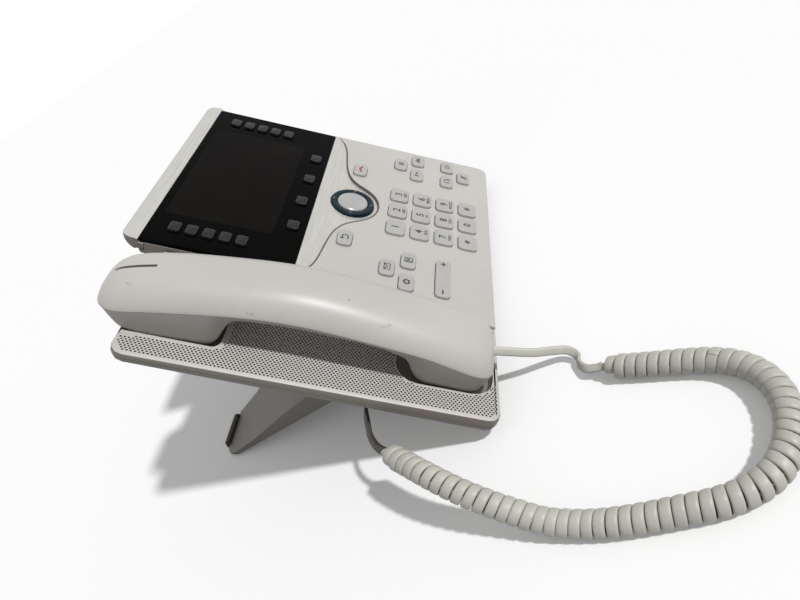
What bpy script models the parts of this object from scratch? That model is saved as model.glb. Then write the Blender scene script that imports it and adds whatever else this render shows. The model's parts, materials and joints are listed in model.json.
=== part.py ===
"""Desk IP phone: body on a clip-on stand, lift-off handset and curly lead.

World frame: metres, +X to the user's right, +Y away from the user, +Z up, origin
under the middle of the phone on the desk. Most pieces are drawn in the frame of the
tilted face: u to the right, v up the face, z out of it, from the face's front left
corner.
"""
import math

import bmesh
import bpy
from mathutils import Matrix, Vector
from mathutils.geometry import interpolate_bezier

MM = 0.001

# ---- driving dimensions -------------------------------------------------------------
TILT = math.radians(42)          # the face against the desk
EDGE_HEIGHT = 12.56 * MM         # height of the face's front edge over the desk
DEPTH_OFFSET = -106.5 * MM       # world Y of the face's front edge
GAP = 0.3 * MM                   # clearance between touching pieces
WALL = 2.2 * MM                  # moulded wall

BODY_WIDTH = 257.3 * MM
KEYPAD_BACK = 127.0 * MM         # v where the keypad panel's side steps in
DISPLAY_INSET = 2.0 * MM         # the display module is a little narrower than the keypad
DISPLAY_RIGHT = BODY_WIDTH - DISPLAY_INSET
KEY_FIELD = 89.5 * MM            # from the middle of the keys to the body's right side
CENTRE = BODY_WIDTH - KEY_FIELD
CRADLE_EDGE_FRONT = 70.0 * MM    # u of the cradle's right side, front and back
CRADLE_EDGE_BACK = 82.0 * MM
EAR_CUP_BACK = 198.0 * MM        # v where the ear cup ends
CRADLE_BACK = EAR_CUP_BACK + 2 * WALL + 2 * GAP
CRADLE_SHORT = 16.0 * MM         # the cradle ends this far below the display's upper end
BODY_BACK = CRADLE_BACK + CRADLE_SHORT
BEYOND = 20 * MM                 # how far a cutter reaches past what it cuts

PARTING = -6.5 * MM              # z where covers and rear housing meet
HOUSING_DEPTH = 38.0 * MM        # face to rear plane
HOUSING_KNEE = -23.0 * MM        # z where the housing's sides turn inwards
KNEE_INSET = 14.0 * MM           # how far the sides are drawn in there and at the rear plane
REAR_INSET = 29.0 * MM
BACK_INSET = 1.0 * MM            # the upper side is drawn in this much less
PANEL = 2.5 * MM                 # thickness of the key panel

GLASS = dict(half=85.3 * MM, low=KEYPAD_BACK - 0.6 * MM, high=BODY_BACK - 1.0 * MM,
             top=1.2 * MM, thick=2.6 * MM)
GLASS_LEFT = CENTRE - GLASS["half"]
LCD_WINDOW = dict(half=57.0 * MM, low=GLASS["low"] + 20.1 * MM, high=GLASS["high"] - 3.2 * MM)
LCD_MARGIN = 3.0 * MM
BEZEL_UNDERSIDE = -3.9 * MM

NAV_V = 101.2 * MM
NAV_RADIUS = 15.3 * MM
SELECT_RADIUS = 10.7 * MM
NAV_FIT = 0.5 * MM               # the ring tilts, so it needs more room than a key
NAV_PIVOT_Z = -4.0 * MM
WAIST_LOW_V = 92.0 * MM          # the dished waist is deepest here
WAIST_DEPTH = -1.8 * MM
WAIST_TOP = 0.9 * MM
LEDGE_TOP = BEZEL_UNDERSIDE - GAP
LEDGE_THICK = 1.8 * MM
LEDGE_WIDTH = 1.2 * MM
LEDGE_ROOT = 2.2 * MM            # how far the ledge's rib stands outside the bezel
STRIP_FRONT = BODY_BACK - 4.0 * MM
STRIP_REACH = 10.1 * MM
TOP_STRIP = ((-4, -3.9), (-4, -1.75), (-0.7, -1.75), (-0.7, 1.0), (1, 1.4), (7, 1.4), (9.3, 0.8),
             (10.1, -0.3), (9.4, -1.5), (2, -6.3), (0.4, -6.3), (0.4, -3.9))

KEY_TRAVEL = 1.2 * MM
KEY_HEIGHT = 2.0 * MM            # above its panel
KEY_FIT = 0.35 * MM              # around a key in its hole
FLANGE = 0.9 * MM                # a key's skirt outside its hole
ROCKER_ANGLE = math.radians(3)

BOARD_TOP = -7.7 * MM
BOARD_THICK = 1.6 * MM
BOARD_LEFT = CRADLE_EDGE_BACK + WALL + 1.8 * MM
BOARD_RIGHT = DISPLAY_RIGHT - 4.8 * MM
BOARD_LOW = 6.0 * MM
BOARD_HIGH = BODY_BACK - 9.0 * MM
BOSS_RADIUS = 3.2 * MM
BOARD_BOSSES = [(u, v) for u in (BOARD_LEFT + 14 * MM, CENTRE, BOARD_RIGHT - 26.5 * MM)
                for v in (BOARD_LOW + 39 * MM, BOARD_HIGH - 45 * MM)]
MAT_THICK = 0.9 * MM
MAT_HIGH = 79.0 * MM
DOME_HEIGHT = 1.0 * MM

HANDSET_U = CRADLE_EDGE_FRONT / 2 + 2.0 * MM
HANDSET_FRONT = 6.5 * MM
HANDSET_BACK = 215.0 * MM
HANDSET_WALL = 2.0 * MM
EAR_BULGE_Z = -7.0 * MM
MOUTH_BULGE_Z = -5.0 * MM
SEAT_GAP = 0.4 * MM
EAR_CUP_SIZE = (45 * MM, 48.2 * MM)
EAR_CUP = dict(centre=(HANDSET_U, EAR_CUP_BACK - EAR_CUP_SIZE[1] / 2), size=EAR_CUP_SIZE, radius=6 * MM,
               floor=EAR_BULGE_Z - SEAT_GAP)
CUP_SLOPE = 1.0 * MM
HOUSING_DRAFT = 0.5 * MM         # of the housing's front wall, down to the cups' floors
MOUTH_CUP_FRONT = 2 * WALL - CUP_SLOPE + HOUSING_DRAFT + GAP
MOUTH_CUP_SIZE = (41 * MM, 54 * MM)
MOUTH_CUP = dict(centre=(HANDSET_U, MOUTH_CUP_FRONT + MOUTH_CUP_SIZE[1] / 2), size=MOUTH_CUP_SIZE,
                 radius=12 * MM, floor=MOUTH_BULGE_Z - SEAT_GAP)
HOOK_CENTRE = (HANDSET_U, 168.0 * MM)
HOOK_SIZE = (9 * MM, 6 * MM)
HOOK_TRAVEL = 4.0 * MM
SPEAKER_V = 105.0 * MM
LAMP_HALF = 0.8 * MM
LAMP_STATIONS = [v * MM for v in (189, 193, 197, 201, 205, 208, 210.5)]
SOUND_HOLE = 1.0 * MM            # radius of the holes at ear and mouth
EAR_HOLES_V = 181.0 * MM
EAR_HOLES_SPREAD = 4.4 * MM
MOUTH_HOLES_V = 27.0 * MM

VENT_WIDTH = 1.6 * MM
VENT_PITCH = 6.4 * MM
VENT_COUNT = 14
VENT_REACH = 29.0 * MM           # from the upper side, where the slots start
VENT_LOW_Z = HOUSING_KNEE - 7.5 * MM
VENT_HIGH_Z = HOUSING_KNEE + 8.0 * MM
SCREW_RECESS = 3.0 * MM
SCREW_DEPTH = 1.1 * MM
SOCKET_V = 69.6 * MM             # socket of the handset's cord, in the housing's left side
SOCKET_Z = -25.0 * MM
SOCKET_SIZE = (7.6 * MM, 6.6 * MM)
SOCKET_FLOOR = 23.0 * MM
SLOT_SIZE = (12 * MM, 3.2 * MM)  # the housing's slots for the stand's hooks
SLOT_U = 52.0 * MM               # from the phone's middle
SLOT_V = 97.0 * MM
HOOK_LENGTH = 4.0 * MM           # past the rear plane
HOOK_ROOT = 1.5 * MM             # into the stand's flange
MIC_U = 34.0 * MM                # microphone slot under the cradle's front edge
MIC_HALF = 3.0 * MM
MIC_LOW_Z = -5.2 * MM
MIC_HIGH_Z = -3.4 * MM

COIL_DIAMETER = 12.8 * MM
LEAD_DIAMETER = 5.2 * MM

# The stand's depths are measured from where the housing's rear plane would meet the desk.
STAND_START = HOUSING_DEPTH / math.sin(TILT) - EDGE_HEIGHT / math.tan(TILT)
STAND_LEFT = 43.0 * MM
ARCH_LEFT = 83.0 * MM
STAND_WALL = 2.5 * MM
STAND_REAR = 172.0 * MM
ARCH_DEPTH = 25.0 * MM
ARCH_SLOPE = 22.0 * MM           # the arch is this much narrower on each side at its head
STAND_TOP = ((39.2, 41.5), (57.2, 38.6), (76.2, 33.8), (97.2, 27.2), (117.2, 19.6), (137.2, 12),
             (157.2, 5.6), (173.2, 2.6))
STAND_UNDER = ((49.2, 27.5), (66.8, 22.4), (117.2, 11.0), (159.2, 1.7), (173.2, 1.7))
STAND_SEAT = (37.2, 73.2)        # depths between which the stand lies on the housing's back, in mm
FLANGE_HALF = 75.0 * MM          # half the length of the flange on the housing's back
STAND_RIBS = (28, 56)            # x of the ribs under the stand's plate, in mm
RIB_HALF = 0.9 * MM
RIB_DEPTH = 6.0 * MM
PAD_LEFT = 53.0 * MM
PAD_RIGHT = 80.0 * MM
PAD_THICK = 1.4 * MM
PAD_REACH = 12.0 * MM            # under the stand's rear edge
PAD_TURN_UP = 4.2 * MM
FOOT_HALF = 95.0 * MM
FOOT_THICK = 1.6 * MM
FOOT_SEAT = FOOT_THICK + GAP


# ---- small geometry helpers ---------------------------------------------------------
def face_matrix():
    """Frame of the tilted face in the world."""
    turn = Matrix.Rotation(TILT, 4, "X")
    return Matrix.Translation((-BODY_WIDTH / 2, DEPTH_OFFSET, EDGE_HEIGHT)) @ turn


def rounded(corners, steps=3):
    """Outline through (u, v, radius) corners, anticlockwise, with each corner filleted."""
    points = []
    count = len(corners)
    for i, (u, v, radius) in enumerate(corners):
        here = Vector((u, v))
        before = Vector(corners[i - 1][:2]) - here
        after = Vector(corners[(i + 1) % count][:2]) - here
        before.normalize()
        after.normalize()
        if radius <= 0:
            points.append(here)
            continue
        half = math.acos(max(-1, min(1, before.dot(after)))) / 2
        middle = here + (before + after).normalized() * (radius / math.sin(half))
        reach = radius / math.tan(half)
        start = here + before * reach - middle
        sweep = start.angle_signed(here + after * reach - middle)
        for k in range(steps + 1):
            turned = Matrix.Rotation(-sweep * k / steps, 2) @ start
            points.append(middle + turned)
    return points


def grown(corners, margin):
    """Corners of an outline moved outwards by a margin, with their radii kept in step."""
    moved = []
    for i, (u, v, radius) in enumerate(corners):
        here = Vector((u, v))
        arriving = (here - Vector(corners[i - 1][:2])).normalized()
        leaving = (Vector(corners[(i + 1) % len(corners)][:2]) - here).normalized()
        first = Vector((arriving.y, -arriving.x))
        second = Vector((leaving.y, -leaving.x))
        here += (first + second) * (margin / (1 + first.dot(second)))
        convex = arriving.cross(leaving) > 0
        if radius > 0:
            radius = max(radius + (margin if convex else -margin), 0.3 * MM)
        moved.append((here.x, here.y, radius))
    return moved


def box_corners(left, right, low, high, radius):
    return [(left, low, radius), (right, low, radius), (right, high, radius), (left, high, radius)]


def rounded_box(centre, size, radius, grow=0.0, steps=2):
    """Rounded rectangle about centre, grown by an even margin."""
    half_u = size[0] / 2 + grow
    half_v = size[1] / 2 + grow
    corners = box_corners(
        centre[0] - half_u, centre[0] + half_u, centre[1] - half_v, centre[1] + half_v,
        max(radius + grow, 0.3 * MM),
    )
    return rounded(corners, steps)


def circle(centre, radius, count=24):
    return [
        Vector((centre[0] + radius * math.cos(2 * math.pi * k / count),
                centre[1] + radius * math.sin(2 * math.pi * k / count)))
        for k in range(count)
    ]


def lifted(points, z):
    """Outline points at height z, a number or a function of (u, v)."""
    return [Vector((p[0], p[1], z(p[0], p[1]) if callable(z) else z)) for p in points]


def loft(rings):
    """Closed solid through rings of equally many points, the first and last one capped."""
    mesh = bmesh.new()
    loops = [[mesh.verts.new(point) for point in ring] for ring in rings]
    for lower, upper in zip(loops, loops[1:]):
        for k in range(len(lower)):
            following = (k + 1) % len(lower)
            mesh.faces.new((lower[k], lower[following], upper[following], upper[k]))
    mesh.faces.new(loops[0][::-1])
    mesh.faces.new(loops[-1])
    bmesh.ops.recalc_face_normals(mesh, faces=mesh.faces)
    return mesh


def prism(outline, low, high):
    return loft([lifted(outline, low), lifted(outline, high)])


def extruded_along_u(profile, left, right):
    """Solid with a (v, z) profile between two values of u."""
    return loft([[Vector((u, v, z)) for v, z in profile] for u in (left, right)])


def turned(profile, centre, count=24):
    """Solid of revolution about z from (radius, z) points, bottom to top, closed on the axis."""
    rings = []
    for radius, z in profile:
        rings.append(lifted(circle(centre, radius, count), z))
    return loft(rings)


def merged(meshes):
    """One mesh of several separate solids."""
    whole = bmesh.new()
    for part in meshes:
        copy = bpy.data.meshes.new("piece")
        part.to_mesh(copy)
        whole.from_mesh(copy)
        bpy.data.meshes.remove(copy)
        part.free()
    return whole


# ---- objects ------------------------------------------------------------------------
MATERIALS = {
    "warm_grey_plastic": ((0.58, 0.56, 0.53), 0.45, 0.0),
    "key_plastic": ((0.52, 0.52, 0.50), 0.5, 0.0),
    "smoke_key": ((0.05, 0.05, 0.055), 0.35, 0.0),
    "silver_trim": ((0.55, 0.54, 0.52), 0.3, 0.8),
    "black_glass": ((0.004, 0.004, 0.005), 0.05, 0.0),
    "dark_teal": ((0.01, 0.03, 0.045), 0.35, 0.0),
    "steel": ((0.6, 0.6, 0.58), 0.25, 1.0),
    "taupe_plastic": ((0.24, 0.21, 0.18), 0.55, 0.0),
    "rubber": ((0.03, 0.028, 0.026), 0.85, 0.0),
    "board_green": ((0.02, 0.12, 0.06), 0.5, 0.0),
    "lcd": ((0.02, 0.02, 0.022), 0.2, 0.0),
    "ivory_cord": ((0.6, 0.58, 0.5), 0.5, 0.0),
    "lamp": ((0.12, 0.02, 0.015), 0.25, 0.0),
}


def make_material(name):
    colour, roughness, metallic = MATERIALS[name]
    material = bpy.data.materials.get(name) or bpy.data.materials.new(name)
    material.use_nodes = True
    shader = material.node_tree.nodes["Principled BSDF"]
    shader.inputs["Base Color"].default_value = (*colour, 1)
    shader.inputs["Roughness"].default_value = roughness
    shader.inputs["Metallic"].default_value = metallic
    return material


def add_object(name, mesh, material, parent=None, smooth=True):
    """Object from a bmesh drawn about its own origin."""
    data = bpy.data.meshes.new(name)
    mesh.to_mesh(data)
    mesh.free()
    obj = bpy.data.objects.new(name, data)
    bpy.context.scene.collection.objects.link(obj)
    obj.parent = parent
    data.materials.append(make_material(material))
    if smooth:
        data.shade_smooth()
        data.set_sharp_from_angle(angle=math.radians(35))
    return obj


def set_origin(obj, point):
    """Moves the object's origin to a point of its parent's frame."""
    obj.data.transform(Matrix.Translation(-Vector(point)))
    obj.location = point


def boolean(first, second, operation):
    """Exact Boolean of two solids drawn in the same frame; both are used up."""
    objects = []
    for mesh in (first, second):
        data = bpy.data.meshes.new("solid")
        mesh.to_mesh(data)
        mesh.free()
        obj = bpy.data.objects.new("solid", data)
        bpy.context.scene.collection.objects.link(obj)
        objects.append(obj)
    modifier = objects[0].modifiers.new("boolean", "BOOLEAN")
    modifier.operation = operation
    modifier.solver = "EXACT"
    modifier.object = objects[1]
    graph = bpy.context.evaluated_depsgraph_get()
    result = bmesh.new()
    result.from_mesh(objects[0].evaluated_get(graph).data)
    for obj in objects:
        data = obj.data
        bpy.data.objects.remove(obj)
        bpy.data.meshes.remove(data)
    return result


def cut(solid, *tools):
    return boolean(solid, merged(tools), "DIFFERENCE")


def fuse(solid, *others):
    for other in others:
        solid = boolean(solid, other, "UNION")
    return solid


def common(solid, other):
    return boolean(solid, other, "INTERSECT")


# ---- keys ---------------------------------------------------------------------------
class Key:
    """One push key: its place and size, and the panel that it comes through."""

    def __init__(self, name, u, v, size, radius, panel_top, panel_bottom, height, material):
        self.name = name
        self.centre = (u, v)
        self.size = size
        self.radius = radius
        self.panel_top = panel_top
        self.panel_bottom = panel_bottom
        self.height = height
        self.material = material

    def outline(self, grow=0.0):
        steps = 2 if self.radius > 2 * MM else 1
        return rounded_box(self.centre, self.size, self.radius, grow, steps)

    def hole(self):
        """Cutter for the key's hole, right through its panel."""
        return prism(self.outline(KEY_FIT), self.panel_bottom - 3 * MM, self.panel_top + 5 * MM)


DIAL_NAMES = ("1", "2", "3", "4", "5", "6", "7", "8", "9", "star", "0", "hash")
DIAL_SIZE = (15.6 * MM, 13.2 * MM)
DIAL_SPACE = (4.7 * MM, 3.85 * MM)
DIAL_LOW_V = 11.05 * MM
FUNCTION_SIZE = (15.2 * MM, 9.8 * MM)
FUNCTION_U = 64.4 * MM           # from the middle
FUNCTION_SPREAD = 10.8 * MM
UPPER_PAIR_V = 57.6 * MM
LOWER_PAIR_V = 33.8 * MM
TRIAD_STEP = 13.3 * MM           # from a pair of keys to the third one
CORNER_KEY_U = 43.3 * MM
CORNER_KEY_V = 100.85 * MM
ROCKER_SIZE = (35.6 * MM, 9.8 * MM)
ROCKER_V = 34.3 * MM
LINE_SIZE = (8.6 * MM, 7.0 * MM)
LINE_U = 69.4 * MM
LINE_TOP_V = BODY_BACK - 17.0 * MM
LINE_PITCH = 10.15 * MM
SOFT_SIZE = (8.6 * MM, 7.6 * MM)
SOFT_PITCH = 28.6 * MM
SOFT_V = GLASS["low"] + 8.6 * MM
KEY_RADIUS = 2.6 * MM
LINE_RADIUS = 1.4 * MM
LINE_HEIGHT = 1.7 * MM


def panel_key(name, u, v, size):
    return Key(name, CENTRE + u, v, size, KEY_RADIUS, 0.0, -PANEL, KEY_HEIGHT, "key_plastic")


def glass_key(name, u, v, size):
    return Key(name, CENTRE + u, v, size, LINE_RADIUS, GLASS["top"], BEZEL_UNDERSIDE,
               LINE_HEIGHT, "smoke_key")


def list_keys():
    panel = []
    pitch_u = DIAL_SIZE[0] + DIAL_SPACE[0]
    pitch_v = DIAL_SIZE[1] + DIAL_SPACE[1]
    for k, label in enumerate(DIAL_NAMES):
        row, column = divmod(k, 3)
        v = DIAL_LOW_V + DIAL_SIZE[1] / 2 + (3 - row) * pitch_v
        panel.append(panel_key(f"dial_key_{label}", (column - 1) * pitch_u, v, DIAL_SIZE))
    places = {
        "back_key": (-CORNER_KEY_U, CORNER_KEY_V),
        "release_key": (CORNER_KEY_U, CORNER_KEY_V),
        "messages_key": (-FUNCTION_U, UPPER_PAIR_V + TRIAD_STEP),
        "settings_key": (-FUNCTION_U - FUNCTION_SPREAD, UPPER_PAIR_V),
        "directory_key": (-FUNCTION_U + FUNCTION_SPREAD, UPPER_PAIR_V),
        "hold_key": (FUNCTION_U, UPPER_PAIR_V + TRIAD_STEP),
        "transfer_key": (FUNCTION_U - FUNCTION_SPREAD, UPPER_PAIR_V),
        "conference_key": (FUNCTION_U + FUNCTION_SPREAD, UPPER_PAIR_V),
        "headset_key": (FUNCTION_U - FUNCTION_SPREAD, LOWER_PAIR_V),
        "speaker_key": (FUNCTION_U + FUNCTION_SPREAD, LOWER_PAIR_V),
        "mute_key": (FUNCTION_U, LOWER_PAIR_V - TRIAD_STEP),
    }
    for name, (u, v) in places.items():
        panel.append(panel_key(name, u, v, FUNCTION_SIZE))
    rocker = panel_key("volume_rocker", -FUNCTION_U, ROCKER_V, ROCKER_SIZE)
    glass = []
    for side, sign in (("left", -1), ("right", 1)):
        for k in range(5):
            v = LINE_TOP_V - k * LINE_PITCH
            glass.append(glass_key(f"line_key_{side}_{k + 1}", sign * LINE_U, v, LINE_SIZE))
    for k in range(4):
        glass.append(glass_key(f"soft_key_{k + 1}", (k - 1.5) * SOFT_PITCH, SOFT_V, SOFT_SIZE))
    return panel, rocker, glass


def add_key(key, parent, tilt=0.0):
    """Key with a drafted body, a softened top edge and a skirt behind its panel."""
    skirt_top = key.panel_bottom - GAP - key.size[0] / 2 * math.sin(tilt)
    top = key.panel_top + key.height
    mesh = loft([
        lifted(key.outline(FLANGE), skirt_top - 0.8 * MM),
        lifted(key.outline(FLANGE), skirt_top),
        lifted(key.outline(0), skirt_top),
        lifted(key.outline(-0.25 * MM), top - 0.5 * MM),
        lifted(key.outline(-0.75 * MM), top),
    ])
    obj = add_object(key.name, mesh, key.material, parent)
    set_origin(obj, (key.centre[0], key.centre[1], key.panel_top - (PANEL if tilt else 0)))


# ---- outlines of the body -----------------------------------------------------------
LIP_ROUND_RING = ((0, 3.6), (24.6, 3.9), (46.6, 4.8), (66.8, 6.0), (84.2, 8.4))
LIP_WING = ((28.4, 104), (35, 107.9), (44, 110.7), (55, 112.5), (66, 114.1), (75, 116.3), (81.5, 119.8),
            (85.6, 124.4), (87.2, 128))


def lip_half():
    """Right half of the keypad panel's upper edge, from the middle: round the ring, then out."""
    points = []
    for degrees, margin in LIP_ROUND_RING:
        angle = math.radians(degrees)
        reach = NAV_RADIUS + margin * MM
        points.append(Vector((reach * math.sin(angle), NAV_V - reach * math.cos(angle))))
    return points + [Vector((u * MM, v * MM)) for u, v in LIP_WING]


def lip_curve(steps=2):
    """Panel edge from left to right as a smooth curve, in u and v."""
    half = lip_half()
    points = [Vector((-p.x, p.y)) for p in reversed(half[1:])] + half
    smooth = []
    for k in range(len(points) - 1):
        start, end = points[k], points[k + 1]
        before = points[max(k - 1, 0)]
        after = points[min(k + 2, len(points) - 1)]
        handles = (start, start + (end - before) / 6, end - (after - start) / 6, end)
        smooth += interpolate_bezier(*handles, steps + 1)[:-1]
    smooth.append(points[-1])
    return [Vector((CENTRE + p.x, p.y)) for p in smooth]


def cradle_outline(grow=0.0):
    corners = [
        (0, 0, 7 * MM), (CRADLE_EDGE_FRONT, 0, 1 * MM), (CRADLE_EDGE_BACK, KEYPAD_BACK, 0),
        (CRADLE_EDGE_BACK, CRADLE_BACK, 1 * MM), (0, CRADLE_BACK, 8 * MM),
    ]
    return rounded(grown(corners, grow))


def cover_outline(grow=0.0):
    corners = [
        (CRADLE_EDGE_FRONT + GAP, 0, 1 * MM),
        (BODY_WIDTH, 0, 7 * MM),
        (BODY_WIDTH, KEYPAD_BACK, 1 * MM),
        (DISPLAY_RIGHT, KEYPAD_BACK + 3 * MM, 1 * MM),
        (DISPLAY_RIGHT, BODY_BACK, 4 * MM),
        (CRADLE_EDGE_BACK + GAP, BODY_BACK, 2 * MM),
        (CRADLE_EDGE_BACK + GAP, KEYPAD_BACK, 0),
    ]
    return rounded(grown(corners, grow))


def housing_outline(left, right, low, high):
    """Outline of the rear housing, drawn in by a margin on each side."""
    def radius(base, one, other):
        return max(base - (one + other) / 2, 2 * MM)
    corners = [
        (left, low, radius(7 * MM, left, low)),
        (BODY_WIDTH - right, low, radius(7 * MM, right, low)),
        (BODY_WIDTH - right, KEYPAD_BACK, 1 * MM),
        (DISPLAY_RIGHT - right, KEYPAD_BACK + 3 * MM, 1 * MM),
        (DISPLAY_RIGHT - right, BODY_BACK - high, radius(4 * MM, right, high)),
        (CRADLE_EDGE_BACK + left, BODY_BACK - high, 2 * MM),
        (CRADLE_EDGE_BACK + left, CRADLE_BACK - high, 1 * MM),
        (left, CRADLE_BACK - high, radius(8 * MM, left, high)),
    ]
    return rounded(corners)


def desk_reach(z, height):
    """v where the plane a height above the desk has this z."""
    return (height - EDGE_HEIGHT - math.cos(TILT) * z) / math.sin(TILT)


# ---- body pieces --------------------------------------------------------------------
def housing_stations(wall):
    """Sections of the housing's outside, drawn in by a wall: outline and z."""
    mouth = PARTING - GAP
    rear_z = -HOUSING_DEPTH + wall
    seat_v = desk_reach(HOUSING_KNEE, FOOT_SEAT)
    rear_v = desk_reach(rear_z, FOOT_SEAT)
    draft = wall + GAP
    knee = wall + KNEE_INSET
    rear = wall + REAR_INSET
    return [
        (housing_outline(wall, wall, wall, wall), mouth),
        (housing_outline(draft, draft, wall + HOUSING_DRAFT, draft), mouth - 2.7 * MM),
        (housing_outline(knee, knee, seat_v + wall, knee - BACK_INSET), HOUSING_KNEE),
        (housing_outline(rear, rear, rear_v + wall * 1.4, rear - BACK_INSET), rear_z),
    ]


def add_rear_housing(parent):
    """Tapered tray with bosses under the circuit board and slots for the stand's hooks."""
    shell = loft([lifted(outline, z) for outline, z in housing_stations(0)])
    inner = housing_stations(WALL)
    inner.insert(0, (inner[0][0], PARTING + 5 * MM))
    shell = cut(shell, loft([lifted(outline, z) for outline, z in inner]))
    floor = -HOUSING_DEPTH + WALL
    for place in BOARD_BOSSES:
        boss = prism(circle(place, BOSS_RADIUS, 8), floor - 1 * MM, BOARD_TOP - BOARD_THICK - GAP)
        shell = fuse(shell, boss)
    outside = loft([lifted(outline, z) for outline, z in housing_stations(0)])
    shell = fuse(shell, common(socket_block(WALL), outside))
    shell = cut(shell, socket_block(0), *vent_cutters(), *screw_recesses(), *hook_boxes(GAP, BEYOND))
    add_object("rear_housing", shell, "taupe_plastic", parent)


def socket_block(wall):
    """Block about the handset cord's socket, open to the left; with no wall, its hollow."""
    half_v = SOCKET_SIZE[0] / 2 + wall
    half_z = SOCKET_SIZE[1] / 2 + wall
    outline = box_corners(-BEYOND, SOCKET_FLOOR + wall, SOCKET_V - half_v, SOCKET_V + half_v, 0)
    return prism(rounded(outline), SOCKET_Z - half_z, SOCKET_Z + half_z)


def vent_cutters():
    """Upright slots through the housing's upper slope, over the display's part of it."""
    slots = []
    half = VENT_WIDTH / 2
    for k in range(VENT_COUNT):
        u = CENTRE + (k - (VENT_COUNT - 1) / 2) * VENT_PITCH
        outline = box_corners(u - half, u + half, BODY_BACK - VENT_REACH, BODY_BACK + BEYOND, 0)
        slots.append(prism(rounded(outline), VENT_LOW_Z, VENT_HIGH_Z))
    return slots


def screw_recesses():
    """Shallow round seats for the case screws, under four of the board's bosses."""
    rear = -HOUSING_DEPTH
    places = BOARD_BOSSES[:2] + BOARD_BOSSES[-2:]
    return [prism(circle(place, SCREW_RECESS, 12), rear - BEYOND, rear + SCREW_DEPTH) for place in places]


def hook_boxes(grow, reach):
    """The stand's hooks, or with a margin the slots for them, through the housing's rear plane."""
    boxes = []
    low = -HOUSING_DEPTH - GAP - max(reach - HOOK_LENGTH, HOOK_ROOT)
    high = -HOUSING_DEPTH + HOOK_LENGTH + grow
    for side in (-1, 1):
        u = BODY_WIDTH / 2 + side * SLOT_U
        boxes.append(prism(rounded_box((u, SLOT_V), SLOT_SIZE, 1 * MM, grow, 1), low, high))
    return boxes


def deck_top(u, v):
    """The cradle's surface falls a little towards its upper end."""
    return -0.9 * MM - 0.0135 * v


def add_cradle_deck(parent):
    """Thin moulded deck with a cup for each end of the handset."""
    outline = cradle_outline()
    edge = 2.2 * MM
    shell = loft([
        lifted(outline, PARTING),
        lifted(outline, lambda u, v: deck_top(u, v) - edge),
        lifted(cradle_outline(-0.3 * edge), lambda u, v: deck_top(u, v) - 0.3 * edge),
        lifted(cradle_outline(-edge), deck_top),
    ])
    inside = cradle_outline(-WALL)
    shell = cut(shell, loft([
        lifted(inside, PARTING - 5 * MM),
        lifted(inside, lambda u, v: deck_top(u, v) - WALL),
    ]))
    for cup in (EAR_CUP, MOUTH_CUP):
        rim = deck_top(*cup["centre"]) - 1.2 * MM
        tub = loft([cup_ring(cup, WALL - CUP_SLOPE, cup["floor"] - WALL), cup_ring(cup, WALL, rim)])
        shell = fuse(shell, tub)
    for cup in (EAR_CUP, MOUTH_CUP):
        rim = deck_top(*cup["centre"]) + 1.5 * MM
        hollow = loft([cup_ring(cup, -CUP_SLOPE, cup["floor"]), cup_ring(cup, 0.8 * MM, rim)])
        shell = cut(shell, hollow)
    left = HANDSET_U - EAR_CUP_SIZE[0] / 2 - 1 * MM
    right = HANDSET_U + EAR_CUP_SIZE[0] / 2 + 1 * MM
    notch = rounded(box_corners(left, right, CRADLE_BACK - 8 * MM, CRADLE_BACK + 5 * MM, 0))
    hook_hole = rounded_box(HOOK_CENTRE, HOOK_SIZE, 1 * MM, 0.4 * MM)
    microphone = rounded(box_corners(MIC_U - MIC_HALF, MIC_U + MIC_HALF, -BEYOND, 1 * MM, 0))
    shell = cut(
        shell,
        prism(notch, PARTING + 0.6 * MM, 5 * MM),
        prism(hook_hole, EAR_CUP["floor"] - 2 * WALL, EAR_CUP["floor"] + 1 * MM),
        prism(microphone, MIC_LOW_Z, MIC_HIGH_Z),
    )
    add_object("cradle_deck", shell, "warm_grey_plastic", parent)


def cup_ring(cup, grow, z):
    return lifted(rounded_box(cup["centre"], cup["size"], cup["radius"], grow, 4), z)


def offset_open(points, distance):
    """Open line moved to its left by distance."""
    moved = []
    for k, point in enumerate(points):
        ahead = points[min(k + 1, len(points) - 1)]
        behind = points[max(k - 1, 0)]
        along = (ahead - behind).normalized()
        moved.append(point + Vector((-along.y, along.x)) * distance)
    return moved


def bezel_outline(inset):
    """Outline of the silver bezel: the panel's lip below, the display walls beside and above."""
    left = CRADLE_EDGE_BACK + GAP + WALL + inset
    right = CENTRE + GLASS["half"] + GAP - inset
    high = BODY_BACK - WALL - inset
    lip = [p for p in offset_open(lip_curve(), inset) if left + 0.5 * MM < p.x < right - 0.5 * MM]
    before = [Vector((left, high)), Vector((left, lip[0].y))]
    after = [Vector((right, lip[-1].y)), Vector((right, high))]
    return before + lip + after


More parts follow.
